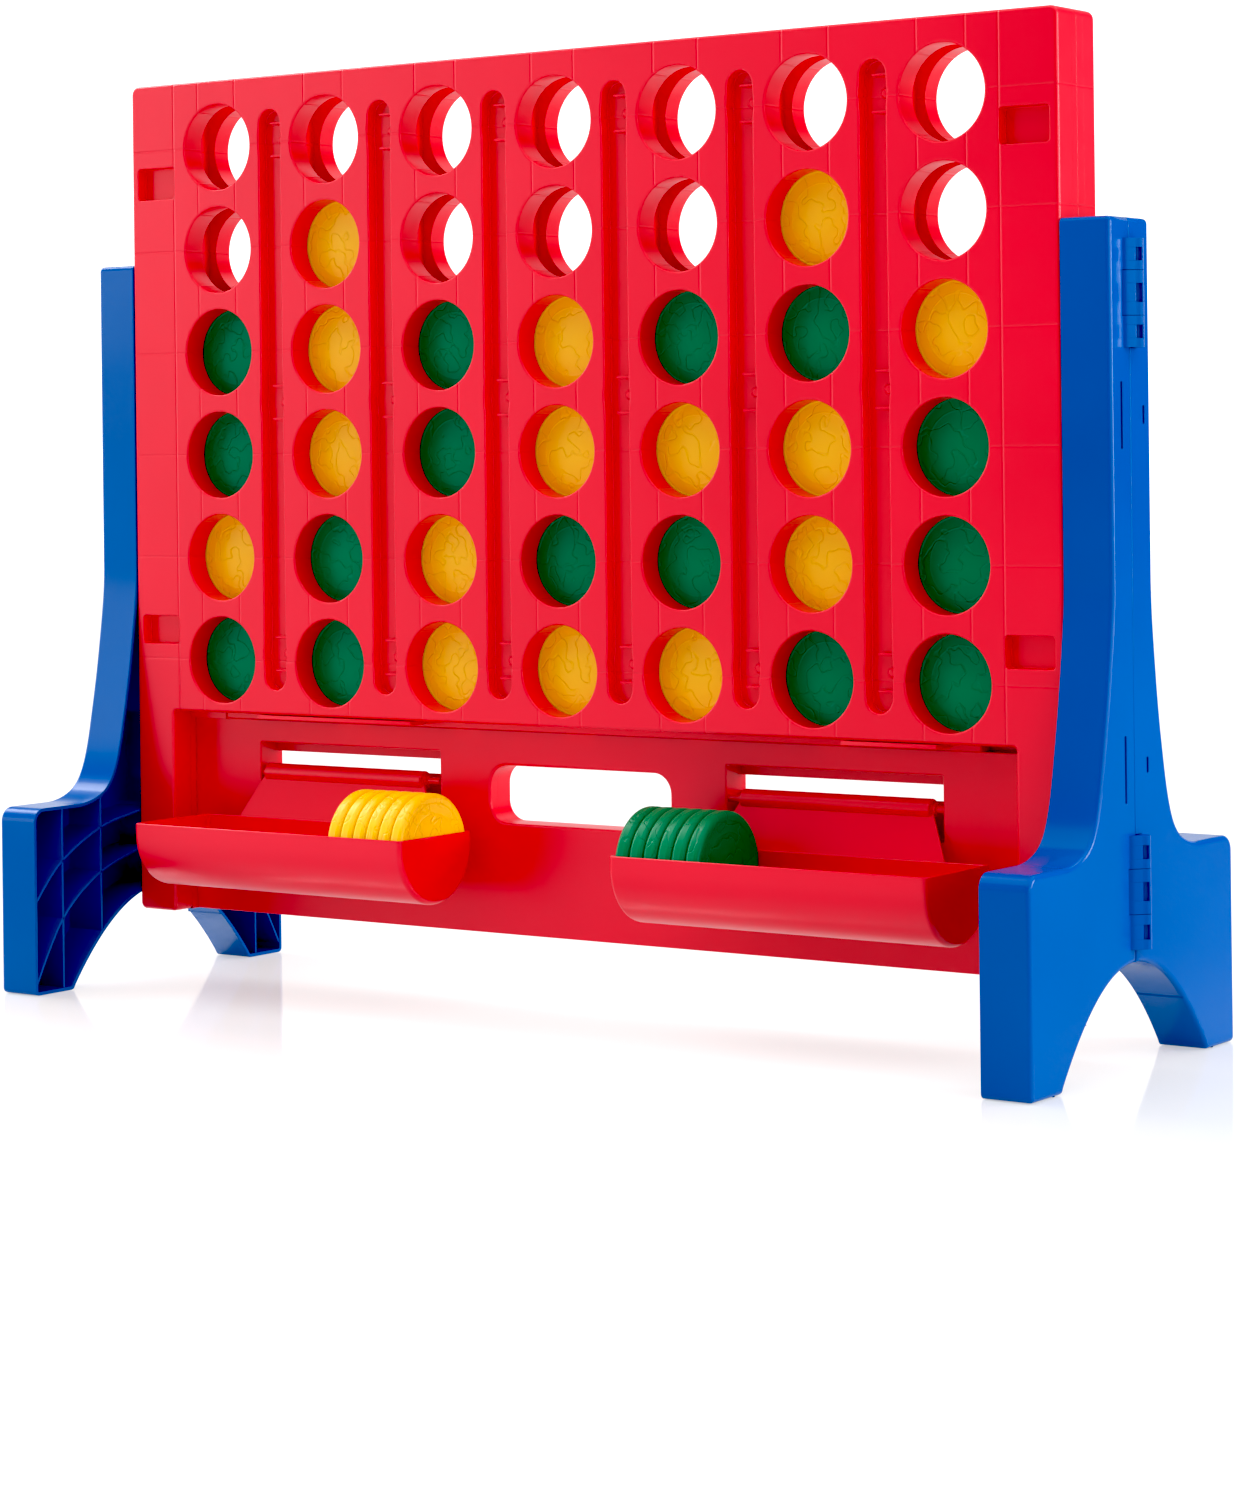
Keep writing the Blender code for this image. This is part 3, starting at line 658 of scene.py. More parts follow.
FRONT_LOW, FRONT_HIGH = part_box("board_front_shell")
REAR_LOW, REAR_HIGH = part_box("board_rear_shell")
PLAYED = disc_nodes()
COLUMN_X = [0.0] * 7
for (column, row), disc_name in PLAYED.items():
    COLUMN_X[column - 1] = middle(disc_name).x
BOTTOM_ROW = middle(PLAYED[(1, 6)]).z
ROW_PITCH = middle(PLAYED[(1, 5)]).z - BOTTOM_ROW
ROW_Z = [BOTTOM_ROW + ROW_PITCH * (5 - k) for k in range(6)]
GROOVE_X = [(one + two) / 2 for one, two in zip(COLUMN_X, COLUMN_X[1:])]
HALF_WIDTH = FRONT_HIGH.x
TOP = FRONT_HIGH.z
BOTTOM = FRONT_LOW.z
FRONT = Plane((0, FRONT_LOW.y, 0), X, Z, -Y)
REAR = Plane((0, REAR_HIGH.y, 0), X, Z, Y)


def groove_loop(x):
    """Slot outline with round ends that swells slightly round each boss."""
    low = GROOVE_LOW + GROOVE_HALF
    high = GROOVE_HIGH - GROOVE_HALF
    side = []
    steps = 90
    for k in range(1, steps):
        z = low + (high - low) * k / steps
        swell = sum(math.exp(-((z - boss) / GROOVE_SPREAD) ** 2) for boss in GROOVE_BOSSES)
        side.append((GROOVE_HALF + GROOVE_BULGE * swell, z))
    loop = arc(x, low, GROOVE_HALF, math.pi, 2 * math.pi, 12)
    loop.extend((x + half, z) for half, z in side)
    loop.extend(arc(x, high, GROOVE_HALF, 0.0, math.pi, 12))
    loop.extend((x - half, z) for half, z in reversed(side))
    return loop


def hole_loops():
    return [circle(x, z, HOLE_RADIUS, HOLE_SIDES) for x in COLUMN_X for z in ROW_Z]


def blind_loops():
    made = [(groove_loop(x), GROOVE_EDGE, GROOVE_DEPTH, GROOVE_FOOT) for x in GROOVE_X]
    for side in (-1, 1):
        span = sorted((side * POCKET_IN, side * POCKET_OUT))
        for heights in POCKET_HEIGHTS:
            made.append((box_loop(span, heights, POCKET_CORNER), POCKET_EDGE, GROOVE_DEPTH, POCKET_EDGE))
    return made


def groove_furniture(skin, plane):
    """Cross ribs and round bosses on the floor of every groove."""
    floor = plane.raised(-GROOVE_DEPTH)
    for x in GROOVE_X:
        span = (x - GROOVE_RIB_START, x + GROOVE_HALF - SHARP)
        for boss in GROOVE_BOSSES:
            for z in (boss - GROOVE_RIB_OFFSET, boss + GROOVE_RIB_OFFSET):
                loop = box_loop(span, (z - GROOVE_RIB_HALF, z + GROOVE_RIB_HALF), GROOVE_RIB_CORNER, 3)
                raise_solid(skin, floor, loop, GROOVE_RIB_HEIGHT, GROOVE_RIB_EDGE)
            loop = circle(x + plane.u.x * GROOVE_BOSS_X, boss, GROOVE_BOSS_RADIUS, 28)
            raise_solid(skin, floor, loop, GROOVE_BOSS_HEIGHT, GROOVE_BOSS_EDGE)


def portal_loop():
    """The board's front outline, an arch over the recess."""
    return rounded([(-HALF_WIDTH, BOTTOM, FOOT_CORNER), (-RECESS_HALF, BOTTOM, RECESS_FOOT_CORNER),
                    (-RECESS_HALF, RECESS_TOP, RECESS_CORNER), (RECESS_HALF, RECESS_TOP, RECESS_CORNER),
                    (RECESS_HALF, BOTTOM, RECESS_FOOT_CORNER), (HALF_WIDTH, BOTTOM, FOOT_CORNER),
                    (HALF_WIDTH, TOP, BOARD_CORNER), (-HALF_WIDTH, TOP, BOARD_CORNER)])


def bar(skin, plane, loop, depth):
    """A wall standing off a skin's inner face, up to the seam between the shells."""
    stud(skin, plane, loop, depth, 0.0005, 2)


def spine_loops(low_bottom):
    """Outlines of the walls between the disc channels and at both ends.

    All of them stop above the release bar, and the right end leaves it room to slide.
    """
    half = CHANNEL_WIDTH / 2
    tiny = TINY_CORNER
    loops = [box_loop((one + half, two - half), (BAR_ROOF, TOP), tiny, 2)
             for one, two in zip(COLUMN_X, COLUMN_X[1:])]
    reaches_floor = low_bottom < BAR_FLOOR
    for side in (-1, 1):
        near = side * (COLUMN_X[6] + half)
        far = side * HALF_WIDTH
        foot = side * RECESS_HALF
        corners = [(near, BAR_ROOF, tiny)]
        if side < 0:
            corners.extend([(foot, BAR_ROOF, tiny), (foot, low_bottom, tiny)])
        elif reaches_floor:
            corners.extend([(BAR_POCKET_END, BAR_ROOF, tiny), (BAR_POCKET_END, BAR_FLOOR, tiny),
                            (foot, BAR_FLOOR, tiny), (foot, low_bottom, 0.003)])
        else:
            corners.extend([(BAR_POCKET_END, BAR_ROOF, tiny), (BAR_POCKET_END, low_bottom, tiny)])
        corners.extend([(far, low_bottom, FOOT_CORNER if reaches_floor else tiny),
                        (far, TOP, BOARD_CORNER), (near, TOP, tiny)])
        loops.append(rounded(corners[::side]))
    return loops


def build_front_shell():
    skin = Skin()
    thickness = FRONT_SKIN_BACK - FRONT_LOW.y
    through = [(loop, HOLE_EDGE, INNER_EDGE) for loop in hole_loops()]
    closed_plate(skin, FRONT, portal_loop(), thickness, BOARD_EDGE, SHARP, through, blind_loops())
    groove_furniture(skin, FRONT)
    seam = Plane((0, -SEAM, 0), X, Z, Y)
    for loop in spine_loops(BOTTOM):
        bar(skin, seam, loop, -FRONT_SKIN_BACK - SEAM)
    made = skin.build("front_shell", SHELL_RED)
    settle(made, "board", "red_shell", "board_front_shell")


def window_loop(side, low, high, radius=WINDOW_EDGE, steps=3):
    middle_x = side * WINDOW_CENTRE + WINDOW_SHIFT
    return box_loop((middle_x - WINDOW_HALF, middle_x + WINDOW_HALF), (low, high), radius, steps)


def slab_loop(top, corner):
    """The board's full outline up to a height."""
    return rounded([(-HALF_WIDTH, BOTTOM, FOOT_CORNER), (HALF_WIDTH, BOTTOM, FOOT_CORNER),
                    (HALF_WIDTH, top, corner), (-HALF_WIDTH, top, corner)])


def cut_windows(skin, outside, within, thickness):
    """Slit above each tray's roll, open through the rear skin, over a wider pocket for the roll."""
    skin_depth = REAR_HIGH.y - WINDOW_SKIN
    for side in (-1, 1):
        slit = window_loop(side, SLIT_LOW, SLIT_HIGH)
        section = round_front(WINDOW_EDGE, 3) + [(0.0, -skin_depth, 0.0)]
        outside.append(skin.sweep(REAR, slit, -1, section)[0])
        window = window_loop(side, WINDOW_LOW, WINDOW_HIGH)
        section = [(0.0, -skin_depth, 0.0), (0.0, -thickness, 0.0)]
        within.append(skin.sweep(REAR, window, -1, section)[1])
        sill = SLIT_LOW + WINDOW_EDGE
        for low, high in ((SLIT_HIGH - WINDOW_EDGE, WINDOW_HIGH), (WINDOW_LOW, sill)):
            wall = window_loop(side, low, high, 0.0004, 2)
            skin.fill([skin.flat_ring(REAR, wall, -skin_depth, -1.0)])


def bar_surround(skin):
    """Wall behind the release bar, and a block past its left end."""
    guard = Plane((0, BAR_GUARD, 0), X, Z, -Y)
    loop = box_loop((-BAR_GUARD_HALF, BAR_GUARD_HALF), BAR_GUARD_SPAN, 0.001, 2)
    bar(skin, guard, loop, REAR_SKIN_FRONT - BAR_GUARD)
    block = Plane((0, BAR_BLOCK_FRONT, 0), X, Z, -Y)
    loop = box_loop(BAR_BLOCK, (BAR_FLOOR, BAR_BLOCK_TOP), TINY_CORNER, 2)
    bar(skin, block, loop, BAR_GUARD - BAR_BLOCK_FRONT + SHARP)


def build_rear_shell():
    skin = Skin()
    thickness = REAR_HIGH.y - REAR_SKIN_FRONT
    hand_span = (HAND_SHIFT - HAND_HALF, HAND_SHIFT + HAND_HALF)
    hand = (box_loop(hand_span, (HAND_LOW, HAND_HIGH), HAND_CORNER, 10), HAND_EDGE, SHARP)
    through = [(loop, HOLE_EDGE, INNER_EDGE) for loop in hole_loops()] + [hand]
    outer = slab_loop(TOP, BOARD_CORNER)
    outside, within = plate(skin, REAR, outer, thickness, BOARD_EDGE, SHARP, through, blind_loops())
    cut_windows(skin, outside, within, thickness)
    skin.fill(outside)
    skin.fill(within)
    groove_furniture(skin, REAR)
    seam = Plane((0, SEAM, 0), X, Z, -Y)
    for loop in spine_loops(PANEL_TOP):
        bar(skin, seam, loop, REAR_SKIN_FRONT - SEAM)
    bar_surround(skin)
    panel = Plane((0, REAR_LOW.y, 0), X, Z, -Y)
    windows = [(window_loop(side, WINDOW_LOW, WINDOW_HIGH), WINDOW_EDGE, SHARP) for side in (-1, 1)]
    closed_plate(skin, panel, slab_loop(PANEL_TOP, PANEL_CORNER), REAR_SKIN_FRONT - REAR_LOW.y,
                 PANEL_EDGE, SHARP, [hand] + windows)
    made = skin.build("rear_shell", SHELL_RED)
    settle(made, "board", "red_shell", "board_rear_shell")


# ------------------------------------------------------------------ release bar
def build_release_bar():
    low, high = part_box("release_bar")
    skin = Skin()
    depth = (-BAR_SLOT_DEPTH, BAR_SLOT_DEPTH)
    slots = []
    for x in GROOVE_X:
        loop = box_loop((x - BAR_SLOT_HALF, x + BAR_SLOT_HALF), depth, BAR_CORNER, 3)
        slots.append((loop, BAR_SLOT_EDGE, BAR_SLOT_EDGE))
    outer = box_loop((low.x, high.x), (-BAR_HALF, BAR_HALF), BAR_CORNER, 3)
    top = Plane((0, 0, high.z), X, Y, Z)
    closed_plate(skin, top, outer, high.z - low.z, BAR_EDGE, BAR_EDGE, slots)
    grip_low, grip_high = GRIP_HEIGHTS
    grip_top = Plane((0, 0, grip_high), X, Y, Z)
    for span in GRIP_SPANS:
        outline = box_loop(span, (low.y, -BAR_HALF + GRIP_LAP), GRIP_CORNER, 3)
        closed_plate(skin, grip_top, outline, grip_high - grip_low, GRIP_EDGE, GRIP_EDGE)
    made = skin.build("release_bar_fine", RED)
    settle(made, "release_bar", "red_shell", "release_bar")


# ------------------------------------------------------------------ discs
def disc_section():
    """Half section of a disc as (height, radius, tilt), from the rim's middle to the centre."""
    half = DISC_HALF
    section = [(0.0, DISC_RADIUS - 0.0003, 0.0), (0.0004, DISC_RADIUS, 0.0),
               (half - DISC_CURVE, DISC_RADIUS, 0.0)]
    for k in range(1, 8):
        tilt = math.pi / 2 * k / 7
        section.append((half - DISC_CURVE * (1 - math.sin(tilt)),
                        DISC_RADIUS - DISC_CURVE * (1 - math.cos(tilt)), tilt))
    section.extend((half - depth, radius, math.radians(tilt)) for radius, depth, tilt in DISC_FACE)
    return section


def disc_mesh(name, look):
    """Turned disc about the local Y axis."""
    skin = Skin()
    sides = DISC_SIDES
    for sign in (1.0, -1.0):
        last = turned(skin, Vector(), Y * sign, (X, Z), disc_section(), sides)[-1]
        centre = skin.add(Y * (sign * (DISC_HALF - DISC_DIP)), Y * sign)
        skin.faces.extend((last[k], last[(k + 1) % sides], centre) for k in range(sides))
    made = skin.build(name, look)
    mesh = made.data
    bpy.data.objects.remove(made)
    return mesh


def build_discs():
    meshes = {"yellow": disc_mesh("disc_yellow_mesh", YELLOW),
              "green": disc_mesh("disc_green_mesh", GREEN)}
    groups = frame["record"]["behaviour"]["bodies"]
    bodies = {node: body for body, members in groups.items() for node in members}
    for node in sorted(frame["nodes"]):
        if not node.startswith("disc_"):
            continue
        tone = node.split("_")[1]
        piece = bpy.data.objects.new("fine_" + node, meshes[tone])
        bpy.context.scene.collection.objects.link(piece)
        piece.location = middle(node)
        if "tray" in node:
            piece.rotation_euler = (0.0, 0.0, math.pi / 2)
        settle(piece, bodies[node], tone + "_disc", node)


# ------------------------------------------------------------------ trays
def trough_ring(radius, top, steps=40):
    """Half-round section as (y, z) spots with outward directions, rim to rim."""
    spots = [(TRAY_CENTRE_Y - radius, top, -1.0, 0.0)]
    for k in range(steps + 1):
        angle = math.pi + math.pi * k / steps
        spots.append((TRAY_CENTRE_Y + radius * math.cos(angle), TRAY_ARC_Z + radius * math.sin(angle),
                      math.cos(angle), math.sin(angle)))
    spots.append((TRAY_CENTRE_Y + radius, top, 1.0, 0.0))
    return spots


def trough_shell(skin, low_x, high_x, radius, top, edge, sign):
    """One side of the trough; sign 1 faces outward, -1 faces the hollow."""
    turns = [(-1, -depth, inset, tilt) for inset, depth, tilt in round_front(edge, 6)]
    turns += [(1, depth, inset, tilt) for end, depth, inset, tilt in reversed(turns)]
    rings = []
    for end, depth, shrink, tilt in turns:
        x = (low_x if end < 0 else high_x) - end * depth
        along = end * math.sin(tilt)
        across = math.cos(tilt)
        ring = []
        for y, z, out_y, out_z in trough_ring(radius - shrink, top):
            normal = Vector((along, out_y * across, out_z * across)) * sign
            ring.append(skin.add((x, y, z), normal))
        rings.append(ring)
    for first, second in zip(rings, rings[1:]):
        skin.bridge(first, second, closed=False)
    for ring, way in ((rings[0], -1.0), (rings[-1], 1.0)):
        spots = [skin.points[k].copy() for k in ring]
        flat = [skin.add(spot, (way * sign, 0.0, 0.0)) for spot in spots]
        count = len(flat)
        for k in range(count // 2 - 1):
            skin.faces.append((flat[k], flat[k + 1], flat[count - 2 - k], flat[count - 1 - k]))
    return rings


def build_tray(word, side):
    node = "tray_" + word
    low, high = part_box(node)
    skin = Skin()
    wall = TRAY_WALL
    end_low = low.x - (TRAY_STRETCH if side < 0 else 0.0)
    end_high = high.x
    top = TRAY_RIM - TRAY_LIP
    outer = trough_shell(skin, end_low, end_high, TRAY_RADIUS, top, 0.005, 1.0)
    inner = trough_shell(skin, end_low + wall, end_high - wall, TRAY_RADIUS - wall, top, 0.0035, -1.0)
    lip(skin, outer, inner)
    made = skin.build("fine_" + node, RED)
    centre = (low.x + high.x) / 2 + ROLL_SHIFTS[side]
    add_back_plate(centre, word)
    settle(made, word + "_tray", "red_shell", node)


def lip(skin, outer, inner):
    """Rounded rim that joins the trough's outer side to its hollow side, all the way round."""
    def path(rings):
        front = [ring[0] for ring in rings]
        back = [ring[-1] for ring in reversed(rings)]
        return front + back
    out = [skin.points[k].copy() for k in path(outer)]
    inn = [skin.points[k].copy() for k in path(inner)]
    rows = []
    for k in range(5):
        share = k / 4
        lift = TRAY_LIP * math.sin(math.pi * share)
        row = []
        for a, b in zip(out, inn):
            spot = a.lerp(b, 0.5 - 0.5 * math.cos(math.pi * share))
            spot.z += lift
            away = Vector(((a - b).x, (a - b).y, 0.0)).normalized()
            normal = away * math.cos(math.pi * share) + Z * (math.sin(math.pi * share) + 0.05)
            row.append(skin.add(spot, normal))
        rows.append(row)
    for first, second in zip(rows, rows[1:]):
        skin.bridge(first, second)


def add_back_plate(centre, word):
    """Leaning plate up to the roll, the roll itself and its two pins."""
    skin = Skin()
    low_y = TRAY_CENTRE_Y + TRAY_RADIUS - TRAY_WALL / 2
    low_z = TRAY_RIM - 0.006
    lean = Vector((0.0, ROLL_Y - low_y, ROLL_Z - low_z))
    length = math.sqrt(lean.length_squared - PLATE_REACH * PLATE_REACH)
    lean.normalize()
    lean.rotate(Matrix.Rotation(math.asin(PLATE_REACH / math.hypot(length, PLATE_REACH)), 3, "X"))
    face = Plane((centre, low_y, low_z), X, lean, X.cross(lean))
    loop = rounded([(-PLATE_LOW_HALF, 0.0, 0.002), (PLATE_LOW_HALF, 0.0, 0.002),
                    (ROLL_HALF, length, 0.001), (-ROLL_HALF, length, 0.001)], 3)
    closed_plate(skin, face.raised(TRAY_WALL / 2), loop, TRAY_WALL, 0.0008, 0.0008)
    half = ROLL_HALF
    collar = [(half, 0.003, 0), (half, COLLAR_RADIUS, 0), (half + 0.0032, COLLAR_RADIUS, 0),
              (half + 0.0040, COLLAR_RADIUS - 0.0008, 90), (half + 0.0040, 0.003, 90)]
    pin = [(half + SHARP, TRAY_PIN_RADIUS, 0), (TRAY_PIN_END - 0.0006, TRAY_PIN_RADIUS, 0),
           (TRAY_PIN_END, TRAY_PIN_RADIUS - 0.0006, 90), (TRAY_PIN_END, 0.0, 90)]
    roll = [(half - 0.0015, ROLL_RADIUS, 0), (half - 0.0005, ROLL_RADIUS - 0.0005, 45),
            (half, ROLL_RADIUS - 0.0015, 90), (half, TRAY_PIN_RADIUS - 0.001, 90)]
    for section in (collar, pin, mirror_ends(collar), mirror_ends(pin), mirror_ends(roll) + roll):
        section = [(along, radius, math.radians(tilt)) for along, radius, tilt in section]
        turned(skin, Vector((centre, ROLL_Y, ROLL_Z)), X, (Y, Z), section, 40)
    settle(skin.build("fine_plate_" + word, RED), word + "_tray", "red_shell")


def mirror_ends(section):
    return [(-along, radius, -tilt) for along, radius, tilt in reversed(section)]


# ------------------------------------------------------------------ legs
def smooth_path(knots, steps):
    """Catmull-Rom curve through knots."""
    path = []
    count = len(knots)
    for k in range(count - 1):
        before = Vector(knots[max(0, k - 1)])
        here = Vector(knots[k])
        ahead = Vector(knots[k + 1])
        beyond = Vector(knots[min(count - 1, k + 2)])
        for j in range(steps):
            t = j / steps
            spot = ((here * 2) + (ahead - before) * t
                    + (before * 2 - here * 5 + ahead * 4 - beyond) * t * t
                    + (here * 3 - before - ahead * 3 + beyond) * t * t * t) / 2
            path.append((spot.x, spot.y))
    path.append(tuple(knots[-1]))
    return path


def leg_half_loop(top, swell, notches):
    """Rear half of the leg in (y, z), anticlockwise from the split line's foot.

    Notches along the split line make room for the other half's knuckles.
    """
    loop = []
    for k in range(25):
        share = k / 24
        y = SEAM + (ARCH_HALF - ARCH_TOE - SEAM) * share
        loop.append((y, ARCH_TOP * (1 - (y / ARCH_HALF) ** 2)))
    last_y = ARCH_HALF - ARCH_TOE
    last_z = ARCH_TOP * (1 - (last_y / ARCH_HALF) ** 2)
    loop.extend((last_y + out, last_z + drop) for out, drop in ARCH_HEEL)
    loop.append((last_y + ARCH_HEEL_OUT, 0.0))
    quarter = math.pi / 2
    edge = LEG_CORNER
    corner = SHOULDER_CORNER
    loop.extend(arc(FOOT_HALF - edge, edge, edge, -quarter, 0.0, 4))
    loop.extend(arc(FOOT_HALF - corner, SHOULDER_Z - corner, corner, 0.0, quarter, 8))
    loop.append((SHOULDER_INNER, SHOULDER_Z))
    loop.extend(smooth_path(FLARE[::-1], 4))
    loop.extend((LEG_TOP_HALF, z) for z in LEG_STRAIGHT)
    loop.extend(arc(LEG_TOP_HALF - edge, top - edge, edge, 0.0, quarter, 4))
    loop.append((SEAM, top))
    for low, high in sorted(notches, reverse=True):
        loop.extend([(SEAM, high), (NOTCH_DEPTH, high), (NOTCH_DEPTH, low), (SEAM, low)])
    widened = []
    for y, z in loop:
        rise = max(0.0, min(1.0, (z - SWELL_START) / SWELL_RISE))
        widened.append((y + swell * rise if y > NOTCH_DEPTH else y, z))
    return widened


def mirrored(loop):
    return [(-y, z) for y, z in reversed(loop)]


def rib_loops():
    loops = []
    for curve in RIB_CURVES:
        path = smooth_path(curve, 6)
        band = []
        for sign in (1, -1):
            row = []
            for k in range(len(path)):
                along = Vector(path[min(k + 1, len(path) - 1)]) - Vector(path[max(0, k - 1)])
                along.normalize()
                row.append((path[k][0] - along.y * RIB_HALF * sign,
                            path[k][1] + along.x * RIB_HALF * sign))
            band.append(row)
        loops.append(band[0] + list(reversed(band[1])))
    return loops


def upright_loops(outline):
    """Upright ribs cut to the height of the leg at their place."""
    loops = []
    for place in RIB_PLACES:
        heights = []
        for k in range(len(outline)):
            a = outline[k - 1]
            b = outline[k]
            if (a[0] - place) * (b[0] - place) < 0:
                heights.append(a[1] + (b[1] - a[1]) * (place - a[0]) / (b[0] - a[0]))
        foot = min(heights)
        crest = max(heights) - 0.001
        loops.append([(place - RIB_HALF, foot), (place + RIB_HALF, foot),
                      (place + RIB_HALF, crest), (place - RIB_HALF, crest)])
    return loops


def clockwise(loop):
    return sum(a[0] * b[1] - b[0] * a[1] for a, b in zip(loop, loop[1:] + loop[:1])) < 0


def build_leg(word, side, front):
    node = "leg_{}_{}".format(word, "front" if front else "rear")
    low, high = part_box(node)
    inner_x = min(abs(low.x), abs(high.x))
    depth = LEG_OUTER - inner_x
    notches = []
    for levels in HINGE_LEVELS.values():
        for span_low, span_high in barrel_spans(levels, not front):
            notches.append((span_low - BARREL_GAP, span_high + BARREL_GAP))
    outline = leg_half_loop(high.z, 0.0 if front else REAR_SWELL, notches)
    ribs = rib_loops() + upright_loops(outline)
    if front:
        outline = mirrored(outline)
        ribs = [mirrored(loop) for loop in ribs]
    weights = []
    for here, after in zip(outline, outline[1:] + outline[:1]):
        split = max(abs(here[0]), abs(after[0])) < NOTCH_DEPTH + SHARP and here[1] > ARCH_TOP
        weights.append(SPLIT_EDGE / LEG_EDGE if split else 1.0)
    skin = Skin()
    plane = Plane((side * LEG_OUTER, 0, 0), Y, Z, X * side)
    section = round_front(LEG_EDGE, 6) + [(0.0, -depth + 0.0005, 0.0)]
    faces = [skin.sweep(plane, outline, 1, section, weights)[0]]
    rim = [(0.0, -depth + 0.0005, 0.0), (0.0002, -depth + 0.0001, -math.pi / 4),
           (0.0005, -depth, -math.pi / 2), (LEG_RIM - 0.0005, -depth, -math.pi / 2)]
    skin.sweep(plane, outline, 1, rim)
    hollow = offset(outline, [LEG_RIM] * len(outline))
    pocket = Plane((side * inner_x, 0, 0), Y, Z, X * -side)
    pocket_depth = depth - LEG_SKIN
    walls = [(0.0005, 0.0, math.pi / 2), (0.00015, -0.00015, math.pi / 4), (0.0, -0.0005, 0.0),
             (0.0, -pocket_depth + 0.0010, 0.0), (-0.0003, -pocket_depth + 0.0003, math.pi / 4),
             (-0.0010, -pocket_depth, math.pi / 2)]
    floors = [skin.sweep(pocket, hollow, -1, walls)[1]]
    for y, slit_low, slit_high in SLITS:
        if (y < 0) == front:
            loop = box_loop((y - SLIT_HALF, y + SLIT_HALF), (slit_low, slit_high), 0.0008, 2)
            section = round_front(0.0004, 2) + [(0.0, -LEG_SKIN, 0.0)]
            near, deep = skin.sweep(plane, loop, -1, section)
            faces.append(near)
            floors.append(skin.flat_ring(plane, deep[1], -LEG_SKIN, -1.0))
    skin.fill(faces)
    skin.fill(floors)
    base = Plane((side * (LEG_OUTER - LEG_SKIN), 0, 0), Y, Z, X * -side)
    for loop in ribs:
        if clockwise(loop):
            loop = list(reversed(loop))
        raise_solid(skin, base, loop, pocket_depth - 0.001, 0.0006)
    add_barrels(skin, side, front)
    made = skin.build("fine_" + node, BLUE)
    body = "board" if front else "leg_{}_rear_half".format(word)
    settle(made, body, "blue_leg", node)


def barrel_spans(levels, front):
    bottom, first, second, top = levels
    if front:
        return [(bottom, first - BARREL_GAP), (second + BARREL_GAP, top)]
    return [(first + BARREL_GAP, second - BARREL_GAP)]


def knuckle_loop(notched):
    """Section of a hinge knuckle: hollowed towards the player, round behind, about the pin."""
    loop = smooth_path(KNUCKLE_HOLLOW, 4)
    loop.extend(KNUCKLE_WINDOW if notched else [KNUCKLE_CREST])
    loop.append(KNUCKLE_LIP)
    start = math.atan2(KNUCKLE_LIP[1], KNUCKLE_LIP[0]) + math.radians(4)
    loop.extend(arc(0.0, 0.0, BARREL_RADIUS, start, math.radians(105), 12))
    loop.append(KNUCKLE_FOOT)
    return loop


def add_barrels(skin, side, front):
    """Hinge knuckles about the fold axis, each with a small window in its crest."""
    across = X * side
    for levels in HINGE_LEVELS.values():
        for low, high in barrel_spans(levels, front):
            reveal = (high - low) * (1 - WINDOW_SHARE) / 2
            cuts = [low, low + reveal, high - reveal, high]
            for k in range(3):
                loop = knuckle_loop(k == 1)
                cap = Plane((side * BARREL_X, 0, cuts[k + 1]), across, Y, Z)
                closed_plate(skin, cap, loop, cuts[k + 1] - cuts[k], SHARP, SHARP)


def build_pins():
    for word, side in (("left", -1), ("right", 1)):
        for level in HINGE_LEVELS:
            skin = Skin()
            node = "hinge_pin_{}_{}".format(word, level)
            low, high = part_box(node)
            cap = Plane((side * BARREL_X, 0, high.z), X, Y, Z)
            closed_plate(skin, cap, circle(0.0, 0.0, PIN_RADIUS, 24), high.z - low.z, 0.0008, 0.0008)
            settle(skin.build("fine_" + node, PIN_BLUE), "board", "hinge_pin", node)


# ------------------------------------------------------------------ stage
def floor_look():
    """White sheet that glows a little, mirrors the feet, and is dark to its right in reflections."""
    look = bpy.data.materials.new("pale_floor")
    look.use_nodes = True
    nodes = look.node_tree.nodes
    nodes.remove(nodes["Principled BSDF"])
    graph = Graph(look.node_tree)
    ray = graph.add("LightPath", {}).outputs
    place = graph.add("TexCoord", {}).outputs["Object"]
    spot = graph.add("SeparateXYZ", {0: place}).outputs
    glow = graph.between(ray["Is Diffuse Ray"], 0.0, 1.0, FLOOR_GLOW, FLOOR_DIM)
    flag = graph.between(spot["X"], FLAG_START, FLAG_FULL, 0.0, FLOOR_FLAG, smooth=True)
    kept = graph.maths("SUBTRACT", 1.0, graph.maths("MULTIPLY", flag, ray["Is Glossy Ray"]))
    light = graph.add("Emission", {"Strength": graph.maths("MULTIPLY", kept, glow)}).outputs[0]
    sheet = graph.add("BsdfDiffuse", {"Color": FLOOR_TONE}).outputs[0]
    lit = graph.add("MixShader", {0: 0.5, 1: sheet, 2: light}).outputs[0]
    mirror = graph.add("BsdfGlossy", {"Roughness": MIRROR_ROUGHNESS}).outputs[0]
    fade = graph.between(spot["Y"], MIRROR_FAR, MIRROR_NEAR, 0.0, FLOOR_MIRROR, smooth=True)
    top = graph.add("MixShader", {0: fade, 1: lit, 2: mirror}).outputs[0]
    graph.feed(nodes["Material Output"].inputs["Surface"], top)
    return look


def build_floor():
    skin = Skin()
    plane = Plane((0, 0, -FLOOR_DROP), X, Y, Z)
    span = (-FLOOR_HALF, FLOOR_HALF)
    skin.fill([skin.flat_ring(plane, box_loop(span, span, 1), 0.0)])
    skin.build("floor", floor_look())


